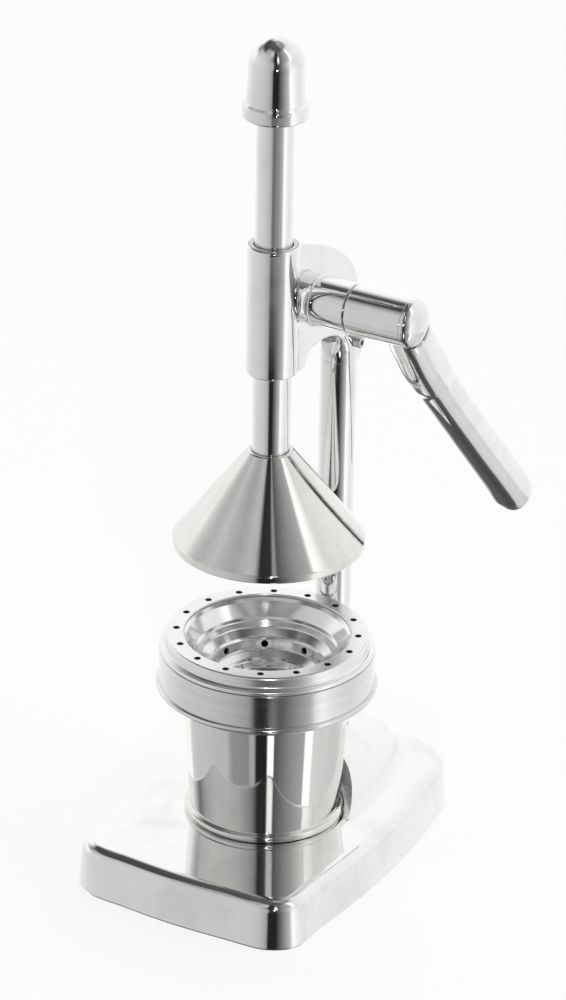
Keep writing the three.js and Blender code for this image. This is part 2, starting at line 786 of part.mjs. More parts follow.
function hubScrewHole() {
  const hole_radius = hub_screw_radius + fit_gap;
  return hubScrewPlace(pin(hole_radius, shaft_radius - overrun, barrel_radius + overrun, small_sides));
}

function hubScrew() {
  const inside = shaft_radius + fit_gap;
  const outside = inside + hub_screw_length;
  const body = hubScrewPlace(pin(hub_screw_radius, inside, outside, small_sides));
  const key = hubScrewPlace(hexPin(hub_key_radius, outside - hex_key_depth, outside + overrun));
  return solid(body).subtract(solid(key));
}

// Splash bell: cone with a short upright lip, open below
function pressBell() {
  const lip_top = bell_bottom + bell_lip_height;
  const slope = (bell_radius - bell_neck_radius) / (bell_top - lip_top);
  const inner_top = bell_top - bell_wall;
  const slant = bell_wall * Math.sqrt(1 + slope * slope);
  const inner_neck = bell_neck_radius - slant + slope * bell_wall;
  const ceiling = inner_top - bell_wall;
  const lip_inside = bell_radius - bell_wall;
  const bore = ram_spigot_radius + fit_gap;
  const recess = ram_radius + seat_gap;
  return solid(turned([
    [bore, ceiling], [inner_neck, ceiling], [bell_radius - slant, lip_top], [lip_inside, lip_top - bell_wall],
    [lip_inside, bell_bottom], [bell_radius, bell_bottom], [bell_radius, lip_top - bell_wall / 2],
    [bell_radius - bell_wall / 3, lip_top], [bell_neck_radius, bell_top - bell_wall / 2],
    [bell_neck_radius - bell_wall / 3, bell_top], [recess, bell_top],
    [recess, inner_top - fit_gap], [bore, inner_top - fit_gap],
  ], bell_sides));
}

function coneTop() {
  return bell_top - 3 * bell_wall - bell_washer_thickness - fit_gap;
}

function bellWasher() {
  const high = bell_top - 2 * bell_wall - fit_gap;
  const low = high - bell_washer_thickness;
  return solid(tube(ram_spigot_radius + seat_gap, bell_washer_radius, low, high, small_sides));
}

// Press cone: ribs grow from its neck to its rim and run out on its rounded nose
const cone_profile_shares = [
  [0, 0, 0], [0.05, 0.12, 0.1], [0.36, 0.75, 0.7], [0.5, 0.96, 1], [0.6, 1, 1], [0.72, 0.93, 1],
  [0.84, 0.77, 0.9], [0.93, 0.52, 0.6], [0.985, 0.24, 0.2], [1, 0.08, 0],
];

function pressCone() {
  const high = coneTop();
  const low = bell_bottom - cone_drop;
  const count = cone_ribs * 3;
  const rings = cone_profile_shares.map(([down, out, rib]) => {
    const inner = down < 0.5 ? cone_neck_radius : 0;
    const ring = [];
    for (let i = 0; i < count; i += 1) {
      const angle = 2 * Math.PI * i / count;
      const swell = rib * cone_rib_height * Math.max(0, Math.cos(cone_ribs * angle));
      const radius = inner + (cone_radius - inner) * out + swell;
      const height = high + (low - high) * down;
      ring.push(new THREE.Vector3(radius * Math.cos(angle), radius * Math.sin(angle), height));
    }
    return ring;
  });
  const bore_end = bell_top - bell_wall - ram_spigot_length - seat_gap;
  const bore = pin(ram_spigot_radius + fit_gap, bore_end, high + overrun);
  return solid(lofted(rings)).subtract(solid(bore));
}

// Top of the cup's outward lip at a radius, which the collar's flange rests on
function lipTop(radius) {
  return cup_shoulder_z + cup_wall + collar_rise_share * (radius - cup_body_radius);
}

// Cup: foot bead, tapered wall and outward lip, open at the top
function cupBody() {
  const floor_z = base_top + fit_gap;
  const bead_z = floor_z + cup_foot_bead;
  const waist_z = bead_z + cup_foot_bead + edge_break;
  const lip_radius = cup_body_radius + cup_lip_reach;
  const inside_top = cup_body_radius - cup_wall;
  const bead_radius = cup_foot_radius - cup_foot_bead;
  return solid(turned([
    [0, floor_z + cup_wall], [cup_bottom_radius - 2 * cup_wall, floor_z + cup_wall],
    [bead_radius - edge_break, floor_z], ...arc([bead_radius, bead_z], cup_foot_bead, -90, 90, 3),
    [cup_bottom_radius, waist_z], [cup_body_radius, cup_shoulder_z],
    [lip_radius, lipTop(lip_radius) - cup_wall], [lip_radius, lipTop(lip_radius)],
    [inside_top, lipTop(inside_top)], [cup_bottom_radius - cup_wall, floor_z + 3 * cup_wall],
    [cup_bottom_radius - 3 * cup_wall, floor_z + 2 * cup_wall], [0, floor_z + 2 * cup_wall],
  ], cup_sides));
}

// Collar: conical flange on the cup's lip, brushed band with a bead at its foot, open mouth
function cupCollar() {
  const inner = cup_body_radius - cup_wall;
  const wall_inside = cup_mouth_radius - cup_wall;
  const bead_bottom = collar_bead_z - collar_bead_radius;
  const bead_centre = [collar_radius - fit_gap, collar_bead_z];
  return solid(turned([
    [inner, lipTop(inner) + fit_gap], [cup_mouth_radius, lipTop(cup_mouth_radius) + fit_gap],
    [cup_mouth_radius, bead_bottom], ...arc(bead_centre, collar_bead_radius, -90, 70, 3),
    [collar_radius, mouth_z - edge_break / 2], [collar_radius - edge_break / 2, mouth_z],
    [wall_inside, mouth_z], [wall_inside, lipTop(wall_inside) + fit_gap + cup_wall],
    [inner, lipTop(inner) + fit_gap + cup_wall],
  ], cup_sides));
}

// Strainer ring: holed flange, stepped edge that rests on the collar's mouth, and a skirt inside it
function strainerRing() {
  const seat_z = flange_z - lid_drop;
  const step_z = seat_z + 3 * edge_break;
  const skirt_z = flange_z - lid_skirt_drop;
  const skirt_outer = cup_mouth_radius - cup_wall - seat_gap;
  const skirt_inner = skirt_outer - flange_wall;
  const under = flange_z - flange_wall;
  const ring = turned([
    [bowl_rim_radius, under], [bowl_rim_radius, flange_z - edge_break / 2],
    [bowl_rim_radius + edge_break, flange_z],
    [flange_radius - edge_break, flange_z], [flange_radius, flange_z - edge_break],
    [flange_radius + edge_break / 2, step_z + edge_break], [flange_radius + 2 * edge_break, step_z],
    [lid_radius - edge_break / 2, step_z], [lid_radius, step_z - edge_break / 2], [lid_radius, seat_z],
    [skirt_outer, seat_z], [skirt_outer, skirt_z], [skirt_inner, skirt_z],
    [skirt_inner, under - flange_wall], [skirt_inner - flange_wall, under],
  ], cup_sides);
  let body = solid(ring);
  for (let i = 0; i < lid_hole_count; i += 1) {
    const angle = lid_hole_turn + 2 * Math.PI * i / lid_hole_count;
    const hole = pin(lid_hole_radius, under - overrun, flange_z + overrun, hole_sides);
    const [x, y] = [lid_hole_circle_radius * Math.cos(angle), lid_hole_circle_radius * Math.sin(angle)];
    body = body.subtract(solid(hole.translate(x, y, 0)));
  }
  return body;
}

// Inside of the bowl from its rim to its floor: shares of the rim radius and of the depth
const bowl_inside_shares = [
  [0.965, 0.09], [0.86, 0.285], [0.825, 0.32], [0.8, 0.42], [0.7, 0.505], [0.675, 0.54],
  [0.655, 0.69], [0.54, 0.755], [0.505, 0.79], [0.475, 0.88], [0.33, 0.965],
];

function strainerBowl() {
  const inside = bowl_inside_shares.map(([r, d]) => [r * bowl_rim_radius, flange_z - d * bowl_depth]);
  const outside = inside.map(([r, z], i) => {
    const [before, after] = [inside[Math.max(0, i - 1)], inside[Math.min(inside.length - 1, i + 1)]];
    const along = new THREE.Vector2(after[0] - before[0], after[1] - before[1]).normalize();
    return [r - along.y * bowl_wall, z + along.x * bowl_wall];
  });
  const lip_top = flange_z - flange_wall - fit_gap;
  const shell = turned([
    [0, flange_z - bowl_depth], ...inside.slice().reverse(),
    [bowl_rim_radius, lip_top], [bowl_lip_radius, lip_top],
    [bowl_lip_radius, lip_top - bowl_wall], [bowl_rim_radius, lip_top - bowl_wall],
    ...outside.slice(1), [0, flange_z - bowl_depth - bowl_wall],
  ], bowl_sides);
  let body = solid(shell);
  const hole_z = flange_z - bowl_hole_share * bowl_depth;
  for (let i = 0; i < bowl_hole_count; i += 1) {
    const hole = pin(bowl_hole_radius, bowl_rim_radius / 3, bowl_rim_radius, hole_sides);
    const turn = bowl_hole_turn + 2 * Math.PI * i / bowl_hole_count;
    body = body.subtract(solid(hole.rotateY(Math.PI / 2).rotateZ(turn).translate(0, 0, hole_z)));
  }
  return body;
}

const press = new THREE.Group();
press.add(
  named('base_casting', baseCasting(), chrome),
  named('base_pad', basePad(), black_rubber),
  named('post', post(), chrome),
  named('post_bolt', postBolt(), machined_steel),
  named('post_washer', postWasher(), machined_steel),
  named('head_casting', headCasting(), chrome),
  named('guide_bush_upper', guideBush(1), machined_steel),
  named('guide_bush_lower', guideBush(-1), machined_steel),
  named('post_clamp_screw', postClampScrew(), machined_steel),
  named('barrel_bush', barrelBush(), bronze),
  named('bearing_cap', bearingCap(), chrome),
  named('ram_rod', ramRod(), chrome),
  named('ram_knob', ramKnob(), chrome),
  named('press_bell', pressBell(), polished_steel),
  named('bell_washer', bellWasher(), machined_steel),
  named('press_cone', pressCone(), satin_aluminium),
  named('pinion_shaft', pinionShaft(), machined_steel),
  named('thrust_washer', thrustWasher(), machined_steel),
  named('lever_arm', leverArm(), chrome),
  named('hub_cap', hubCap(), chrome),
  named('hub_screw', hubScrew(), machined_steel),
  named('cup_body', cupBody(), polished_steel),
  named('cup_collar', cupCollar(), brushed_steel),
  named('strainer_ring', strainerRing(), brushed_steel),
  named('strainer_bowl', strainerBowl(), brushed_steel),
);

export default press;
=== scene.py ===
"""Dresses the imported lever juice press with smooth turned, cast and pressed pieces in their finishes,
and sets a plain studio round it. Lengths are in metres, angles in radians unless a name says degrees."""

import math

import bmesh
import bpy
from bpy.props import FloatProperty, FloatVectorProperty, IntProperty, PointerProperty
from mathutils import Matrix, Vector


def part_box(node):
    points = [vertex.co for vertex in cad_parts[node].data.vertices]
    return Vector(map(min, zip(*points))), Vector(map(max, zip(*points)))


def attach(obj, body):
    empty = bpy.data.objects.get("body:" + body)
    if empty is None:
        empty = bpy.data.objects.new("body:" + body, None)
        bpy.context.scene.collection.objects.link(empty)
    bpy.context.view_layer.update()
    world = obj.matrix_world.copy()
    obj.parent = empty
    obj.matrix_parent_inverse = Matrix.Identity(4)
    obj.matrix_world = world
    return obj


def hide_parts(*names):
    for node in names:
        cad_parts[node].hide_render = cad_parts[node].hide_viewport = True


bl_info = {
    "name": "Lever Juice Press",
    "version": (1, 0, 0),
    "blender": (4, 5, 0),
    "location": "3D View > Sidebar > Juice Press",
    "description": "Builds a plated lever juice press piece by piece, and the studio it stands in",
    "category": "Object",
}

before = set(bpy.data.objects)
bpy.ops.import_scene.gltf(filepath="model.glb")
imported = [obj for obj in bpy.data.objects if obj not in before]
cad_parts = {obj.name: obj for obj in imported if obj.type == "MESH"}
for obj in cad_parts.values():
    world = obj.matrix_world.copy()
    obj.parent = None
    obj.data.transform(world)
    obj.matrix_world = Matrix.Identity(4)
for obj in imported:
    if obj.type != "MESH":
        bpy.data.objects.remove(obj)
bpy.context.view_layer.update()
mm = 0.001
overrun = 2 * mm  # How far a cutter passes the face that it starts from
fit_gap = 0.12 * mm  # Between two pieces that touch
same_place = 1e-7  # Corners nearer than this are one
spigot_bore = 6.12 * mm  # Radius of the holes for the ram's spigot and the lever's shaft
screw_rise = 10.6 * mm  # From the head's foot up to the clamp screw


def low(node):
    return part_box(node)[0]


def high(node):
    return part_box(node)[1]


def length(name, description, default):
    return FloatProperty(name=name, description=description, default=default, unit="LENGTH", precision=5)


def number(name, description, default, least=0.0):
    return FloatProperty(name=name, description=description, default=default, min=least)


def whole_number(name, description, default, least=3):
    return IntProperty(name=name, description=description, default=default, min=least)


def part(name, description, kind):
    return PointerProperty(name=name, description=description, type=kind)


def turn(name, description, degrees):
    return FloatProperty(name=name, description=description, default=math.radians(degrees), subtype="ANGLE")


def colour(name, description, default):
    return FloatVectorProperty(
        name=name, description=description, default=default, size=3, min=0.0, max=1.0, subtype="COLOR")


# Sizes and colours that a user would change

class BaseSizes(bpy.types.PropertyGroup):
    half_width: length("Half width", "From the middle to the widest side", high("base_casting").x)
    front: length("Front reach", "From the ram's axis to the front edge", -low("base_casting").y)
    back: length("Back reach", "From the ram's axis to the back edge", high("base_casting").y)
    foot: length("Foot level", "Underside of the casting", low("base_casting").z)
    top: length("Top level", "Flat top that the cup stands on", 27.0 * mm)
    edge_round: length("Edge round", "Radius of the top edge", 7.0 * mm)
    side_draft: length("Side draft", "How far the sides lean in", 1.6 * mm)
    hump_half_width: length("Hump half width", "Half width of the hump behind the cup", 42.5 * mm)
    hump_reach: length("Hump reach", "Half length of the hump", 86.0 * mm)
    hump_centre: length("Hump centre", "How far back the hump's middle lies", 25.0 * mm)
    hump_height: length("Hump height", "Rise of the hump over the flat top", 23.0 * mm)
    hump_flare: length("Hump flare", "Hollow rounding at the hump's foot", 8.0 * mm)
    seat_radius: length("Seat radius", "Radius of the cup's seat cut in the hump", 45.2 * mm)


class ColumnSizes(bpy.types.PropertyGroup):
    post_radius: length("Post radius", "Radius of the post", (high("post").x - low("post").x) / 2)
    post_behind: length("Post place", "From the ram's axis back to the post's", high("post").y - 9.5 * mm)
    post_foot: length("Post foot", "Level of the post's foot in the base", low("post").z)
    ram_radius: length("Ram radius", "Radius of the ram's bar", 9.55 * mm)
    ram_top: length("Ram top", "Level of the bar's top end", high("ram_rod").z)
    ram_foot: length("Ram foot", "Level of the spigot's lower end", low("ram_rod").z)
    rack_pitch: length("Rack pitch", "Distance from tooth to tooth", 3.92699 * mm)
    rack_teeth: whole_number("Rack teeth", "Number of teeth in the ram's back", 22, 4)
    knob_radius: length("Knob radius", "Radius of the knob's skirt", 16.6 * mm)
    knob_foot: length("Knob foot", "Underside of the knob", low("ram_knob").z)
    knob_top: length("Knob top", "Top of the knob's dome", high("ram_knob").z)
    dome_radius: length("Dome radius", "Radius of the knob where its dome starts", 14.1 * mm)
    dome_height: length("Dome height", "Height of the knob's dome", 15.8 * mm)


class HeadSizes(bpy.types.PropertyGroup):
    foot: length("Foot level", "Where the head stands on the post's shoulder", low("head_casting").z)
    top: length("Top level", "Top of the guide sleeve", high("head_casting").z)
    half_thickness: length("Half thickness", "Half thickness of the side plate", 9.6 * mm)
    sleeve_radius: length("Sleeve radius", "Outer radius of the guide sleeve", 13.3 * mm)
    sleeve_foot: length("Sleeve foot", "Lower end of the guide sleeve", low("guide_bush_lower").z)
    edge_round: length("Edge round", "Rounding of the plate's edges", 1.3 * mm)
    barrel_radius: length("Barrel radius", "Radius of the boss and of the lever's hub", 12.75 * mm)
    barrel_level: length("Barrel level", "Level of the barrel's axis", 308.6 * mm)
    barrel_behind: length("Barrel place", "How far behind the ram's axis the barrel's axis lies", 20.35 * mm)
    boss_end: length("Boss end", "Where the fixed boss ends", high("head_casting").x)
    hub_end: length("Hub end", "Where the turning hub ends", low("hub_cap").x + 4.88 * mm)
    cap_end: length("Cap end", "Crown of the hub's end cap", high("hub_cap").x)


class LeverSizes(bpy.types.PropertyGroup):
    centre: length("Arm place", "From the ram's axis to the arm's middle", 62.2 * mm)
    reach: length("Arm reach", "Scale of the arm's line", 190.0 * mm)
    width: length("Arm width", "Width of the arm across the swing", 20.8 * mm)
    depth: length("Arm depth", "Depth of the arm in the swing", 21.4 * mm)


class BellSizes(bpy.types.PropertyGroup):
    radius: length("Bell radius", "Radius at the lip", 48.9 * mm)
    neck_radius: length("Neck radius", "Radius of the shoulder under the bar", 11.2 * mm)
    foot: length("Lip level", "Lower edge of the lip", low("press_bell").z)
    top: length("Shoulder level", "Top of the bell", high("press_bell").z)
    lip_height: length("Lip height", "Height of the upright lip", 3.6 * mm)
    wall: length("Wall", "Thickness of the sheet", 1.5 * mm)
    cone_radius: length("Cone radius", "Radius of the press cone without its ribs", 30.0 * mm)
    cone_nose: length("Cone nose", "Lowest level of the press cone", low("press_cone").z)
    cone_top: length("Cone top", "Level of the press cone's neck", high("press_cone").z)
    ribs: whole_number("Ribs", "Number of ribs of the press cone", 12)
    rib_height: length("Rib height", "How far the ribs stand out", 1.5 * mm)


class CupSizes(bpy.types.PropertyGroup):
    foot: length("Foot level", "Underside of the cup", low("cup_body").z)
    foot_radius: length("Foot radius", "Radius over the foot bead", 41.5 * mm)
    bottom_radius: length("Bottom radius", "Radius just above the foot bead", 38.9 * mm)
    body_radius: length("Body radius", "Radius just below the collar", 42.7 * mm)
    shoulder: length("Shoulder level", "Where the body turns out", 91.6 * mm)
    mouth_radius: length("Collar radius", "Outer radius of the collar's band", 55.3 * mm)
    bead_level: length("Bead level", "Middle of the collar's bead", 100.4 * mm)
    bead_radius: length("Bead radius", "Radius of the collar's bead", 1.7 * mm)
    mouth: length("Mouth level", "Top edge of the collar", high("cup_collar").z)
    wall: length("Wall", "Thickness of the cup's sheet", 1.3 * mm)


class StrainerSizes(bpy.types.PropertyGroup):
    top: length("Flange level", "Top of the holed flange", high("strainer_ring").z)
    radius: length("Ring radius", "Outer radius of the ring's edge", high("strainer_ring").x)
    flange_radius: length("Flange radius", "Outer radius of the holed flange", 51.6 * mm)
    rim_radius: length("Rim radius", "Inner radius of the flange", 42.6 * mm)
    hole_radius: length("Hole radius", "Radius of the flange's holes", 1.75 * mm)
    hole_circle: length("Hole circle", "Radius of the circle of holes", 46.5 * mm)
    hole_count: whole_number("Holes", "Number of holes in the flange", 16)
    hole_start: turn("First hole", "Angle of the first hole", 4.2)
    bowl_depth: length("Bowl depth", "From the flange down to the bowl's floor", 35.0 * mm)
    bowl_wall: length("Bowl wall", "Thickness of the bowl's sheet", 1.2 * mm)
    bowl_hole_radius: length("Bowl hole radius", "Radius of the bowl's holes", 1.9 * mm)
    bowl_hole_count: whole_number("Bowl holes", "Number of holes in the bowl", 8)
    bowl_hole_start: turn("First bowl hole", "Angle of the first hole of the bowl", 33.0)


class Finishes(bpy.types.PropertyGroup):
    plating: colour("Plating", "Mirror-bright plating of the castings and bars", (0.86, 0.865, 0.86))
    plating_shadow: colour("Plating shadow", "Where the plating is handled most", (0.78, 0.785, 0.78))
    polished: colour("Polished steel", "Cup and bell", (0.8, 0.795, 0.775))
    brushed: colour("Brushed steel", "Band of the collar", (0.8, 0.795, 0.78))
    satin: colour("Satin steel", "Ring of the strainer", (0.9, 0.897, 0.885))
    pressed: colour("Pressed steel", "Bowl of the strainer", (0.95, 0.947, 0.94))
    machined: colour("Machined steel", "Bushes, washers and screws", (0.66, 0.66, 0.65))
    cast: colour("Cast aluminium", "Press cone", (0.62, 0.62, 0.61))
    bronze: colour("Bronze", "Bush of the lever's shaft", (0.52, 0.33, 0.14))
    rubber: colour("Rubber", "Pad under the base", (0.018, 0.018, 0.019))


class StudioSettings(bpy.types.PropertyGroup):
    azimuth: turn("Camera azimuth", "Direction of the camera round the press", 31.0)
    elevation: turn("Camera elevation", "Height angle of the camera", 25.456)
    roll: turn("Camera roll", "Tilt of the picture", 0.7277)
    distance: length("Camera distance", "From the camera to the point it aims at", 2.5126)
    lens: number("Lens", "Focal length in millimetres", 180.0, 10.0)
    floor_size: length("Floor size", "Half width of the floor", 6.0)
    lamp_power: number("Lamp power", "Power of the small lamp in front, in watts", 3.0)


def sizes(context):
    return context.scene.juice_press


# Mesh helpers

def placed(name, data):
    """New object in the scene."""
    thing = bpy.data.objects.new(name, data)
    bpy.context.scene.collection.objects.link(thing)
    return thing


def rounded(corners, closed=False, steps=6):
    """Line of points from (radius, height, rounding) corners; roundings are arcs between short supports."""
    longest_share, support_length, support_share = 0.46, 0.12 * mm, 0.03
    line = []
    for i, (radius, height, rounding) in enumerate(corners):
        corner = Vector((radius, height))
        if rounding <= 0 or (not closed and i in (0, len(corners) - 1)):
            line.append(corner)
            continue
        back = Vector(corners[i - 1][:2]) - corner
        ahead = Vector(corners[(i + 1) % len(corners)][:2]) - corner
        half = back.angle(ahead) / 2
        reach = min(rounding / math.tan(half), longest_share * back.length, longest_share * ahead.length)
        support = min(support_length, support_share * back.length, support_share * ahead.length)
        back.normalize()
        ahead.normalize()
        middle = corner + (back + ahead).normalized() * reach / math.cos(half)
        start = corner + back * reach - middle
        end = corner + ahead * reach - middle
        line.append(middle + start + back * support)
        first = math.atan2(start.y, start.x)
        sweep = (math.atan2(end.y, end.x) - first + math.pi) % (2 * math.pi) - math.pi
        for k in range(steps + 1):
            angle = first + sweep * k / steps
            line.append(middle + start.length * Vector((math.cos(angle), math.sin(angle))))
        line.append(middle + end + ahead * support)
    return line


def dome(radius, foot, crown, steps):
    """Quarter ellipse from its foot, which is left out, to its crown on the axis."""
    line = []
    for step in range(1, steps + 1):
        angle = math.pi / 2 * step / steps
        line.append(Vector((radius * math.cos(angle), foot + (crown - foot) * math.sin(angle))))
    line[-1].x = 0.0
    return line


def skin(bm, first, second):
    """Faces between two rings of corners; a ring of one corner is a pole."""
    count = max(len(first), len(second))
    if count == 1:
        return
    for i in range(count):
        corners = [first[i % len(first)], first[(i + 1) % len(first)],
                   second[(i + 1) % len(second)], second[i % len(second)]]
        bm.faces.new(list(dict.fromkeys(corners)))


def shown(name, bm):
    """Object of a finished bmesh, with its faces turned outwards."""
    bmesh.ops.remove_doubles(bm, verts=bm.verts, dist=same_place)
    bmesh.ops.recalc_face_normals(bm, faces=bm.faces)
    mesh = bpy.data.meshes.new(name)
    bm.to_mesh(mesh)
    bm.free()
    return placed(name, mesh)


def lathe(name, profile, sides=128, centre=(0.0, 0.0), closed=False, along_barrel=None):
    """Turned piece about +Z, or about +X through a (y, z) place where along_barrel gives one."""
    bm = bmesh.new()
    angles = [2 * math.pi * i / sides for i in range(sides)]
    rings = []
    for point in profile:
        places = angles if point.x > same_place else angles[:1]
        rings.append([bm.verts.new((point.x * math.cos(a), point.x * math.sin(a), point.y)) for a in places])
    for first, second in zip(rings, rings[1:] + (rings[:1] if closed else [])):
        skin(bm, first, second)
    place = Matrix.Translation((centre[0], centre[1], 0.0))
    if along_barrel:
        behind, level = along_barrel
        place = Matrix(((0, 0, 1, 0), (1, 0, 0, behind), (0, 1, 0, level), (0, 0, 0, 1)))
    bmesh.ops.transform(bm, matrix=place, verts=bm.verts)
    return shown(name, bm)


def pin(name, radius, start, end, sides=96, **place):
    profile = [Vector(pair) for pair in ((0, start), (radius, start), (radius, end), (0, end))]
    return lathe(name, profile, sides, **place)


def loft(name, rings, poles=(None, None)):
    """Closed skin over rings with one count of points; its ends are poles or flat faces."""
    bm = bmesh.new()
    made = [[bm.verts.new(point) for point in ring] for ring in rings]
    for first, second in zip(made, made[1:]):
        skin(bm, first, second)
    for ring, pole in ((made[0], poles[0]), (made[-1], poles[1])):
        if pole is None:
            bm.faces.new(ring)
        else:
            skin(bm, ring, [bm.verts.new(pole)])
    return shown(name, bm)


def upright(name, outline, start, end):
    """Straight solid over an outline of (x, y) pairs, between two levels."""
    return loft(name, [[Vector((x, y, level)) for x, y in outline] for level in (start, end)])


def crosswise(name, outline, half):
    """Straight solid along X over an outline of (y, z) pairs."""
    return loft(name, [[Vector((x, y, z)) for y, z in outline] for x in (-half, half)])


def bake(piece):
    """Applies a piece's modifiers to its mesh."""
    bpy.context.view_layer.update()
    evaluated = piece.evaluated_get(bpy.context.evaluated_depsgraph_get())
    mesh = bpy.data.meshes.new_from_object(evaluated)
    old = piece.data
    piece.modifiers.clear()
    piece.data = mesh
    mesh.name = piece.name
    bpy.data.meshes.remove(old)


def combine(piece, operation, *tools):
    """Joins solids to a piece, or cuts them from it, and takes the tools away."""
    for tool in tools:
        modifier = piece.modifiers.new(operation.lower(), "BOOLEAN")
        modifier.operation = operation
        modifier.solver = "EXACT"
        modifier.object = tool
    bake(piece)
    for tool in tools:
        mesh = tool.data
        bpy.data.objects.remove(tool)
        bpy.data.meshes.remove(mesh)
    if not piece.data.polygons:
        raise RuntimeError(f"{piece.name} came out empty")
    return piece


def join(piece, *others):
    return combine(piece, "UNION", *others)


def cut(piece, *tools):
    return combine(piece, "DIFFERENCE", *tools)


def dress(piece, body, coating, node, crease=32.0):
    """Smooths a piece, gives it its finish, and hands it to its body in place of its CAD node."""
    mesh = piece.data
    bm = bmesh.new()
    bm.from_mesh(mesh)
    bmesh.ops.dissolve_degenerate(bm, dist=2 * same_place, edges=bm.edges)
    bm.to_mesh(mesh)
    bm.free()
    mesh.shade_smooth()
    mesh.set_sharp_from_angle(angle=math.radians(crease))
    mesh.materials.clear()
    mesh.materials.append(finish(coating))
    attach(piece, body)
    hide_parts(node)


def through(points, steps, closed=False):
    """Smooth line through points, with equal steps between each two of them."""
    line = []
    count = len(points)
    for i in range(count if closed else count - 1):
        if closed:
            a, b, c, d = (points[(i + k) % count] for k in (-1, 0, 1, 2))
        else:
            b, c = points[i], points[i + 1]
            a = points[i - 1] if i else b + (b - c)
            d = points[i + 2] if i + 2 < count else c + (c - b)
        spans = [max((q - p).length, 1e-9) ** 0.5 for p, q in ((a, b), (b, c), (c, d))]
        out = ((b - a) / spans[0] - (c - a) / (spans[0] + spans[1]) + (c - b) / spans[1]) * spans[1]
        into = ((c - b) / spans[1] - (d - b) / (spans[1] + spans[2]) + (d - c) / spans[2]) * spans[1]
        square = 3 * (c - b) - 2 * out - into
        cube = 2 * (b - c) + out + into
        for t in (step / steps for step in range(steps)):
            line.append(b + out * t + square * t ** 2 + cube * t ** 3)
    return line if closed else line + [points[-1]]


def inward(outline, insets):
    """Closed outline moved in, at each point by its own inset; the outline runs anticlockwise."""
    moved = []
    for i, point in enumerate(outline):
        along = (outline[(i + 1) % len(outline)] - outline[i - 1]).normalized()
        moved.append(point + Vector((-along.y, along.x)) * insets[i])
    return moved


# Node helpers

def add(tree, kind, inputs=None, **settings):
    """New node: after its settings, inputs that are sockets are linked and the others are written."""
    node = tree.nodes.new(kind)
    for name, value in settings.items():
        setattr(node, name, value)
    for key, value in (inputs or {}).items():
        if isinstance(value, bpy.types.NodeSocket):
            tree.links.new(value, node.inputs[key])
        else:
            node.inputs[key].default_value = value
    return node


def math_node(tree, operation, *values):
    return add(tree, "ShaderNodeMath", dict(enumerate(values)), operation=operation).outputs[0]


def between(tree, value, start, end):
    """Share of the way from start to end at which a value lies, kept from 0 to 1."""
    return add(tree, "ShaderNodeMapRange", {0: value, 1: start, 2: end}).outputs[0]


def blend(tree, factor, first, second):
    """Colour between two others."""
    return add(tree, "ShaderNodeMix", {0: factor, 6: first, 7: second}, data_type="RGBA").outputs[2]


def noise(tree, vector, scale, detail, roughness):
    return add(tree, "ShaderNodeTexNoise", {
        "Vector": vector, "Scale": scale, "Detail": detail, "Roughness": roughness}).outputs[0]


def new_group(name, family, inputs, outputs):
    """Node group with inputs of (kind, default) and outputs of a kind, and the sockets inside it."""
    tree = bpy.data.node_groups.new(name, family)
    for label, (kind, default) in inputs.items():
        socket = tree.interface.new_socket(label, in_out="INPUT", socket_type="NodeSocket" + kind)
        if default is not None:
            socket.default_value = default
    for label, kind in outputs.items():
        tree.interface.new_socket(label, in_out="OUTPUT", socket_type="NodeSocket" + kind)
    return tree, tree.nodes.new("NodeGroupInput").outputs, tree.nodes.new("NodeGroupOutput").inputs


# Geometry node trees

def new_tree(name, inputs):
    """Geometry node group with a geometry in and out, its own inputs, and a material."""
    inputs = {"Geometry": ("Geometry", None), **inputs, "Material": ("Material", None)}
    return new_group(name, "GeometryNodeTree", inputs, {"Geometry": "Geometry"})


def end_tree(tree, geometry, given, result):
    """Makes all copies real, gives them the material and ends the tree."""
    real = add(tree, "GeometryNodeRealizeInstances", {0: geometry})
    coated = add(tree, "GeometryNodeSetMaterial", {
        "Geometry": real.outputs[0], "Material": given["Material"]})
    tree.links.new(coated.outputs[0], result["Geometry"])
    return tree


def cut_tree(tree, cutters, given, result):
    """Cuts the copies of a cutter from the geometry, and ends the tree."""
    real = add(tree, "GeometryNodeRealizeInstances", {0: cutters})
    opened = add(tree, "GeometryNodeMeshBoolean", {"Mesh 1": given["Geometry"], "Mesh 2": real.outputs[0]},
                 operation="DIFFERENCE", solver="EXACT")
    return end_tree(tree, opened.outputs["Mesh"], given, result)


def run_tree(piece, tree, values):
    """Puts a tree on a piece, sets its named inputs by their identifiers, and bakes it."""
    modifier = piece.modifiers.new(tree.name, "NODES")
    modifier.node_group = tree
    for item in tree.interface.items_tree:
        if item.item_type == "SOCKET" and item.in_out == "INPUT" and item.name in values:
            modifier[item.identifier] = values[item.name]
    bake(piece)


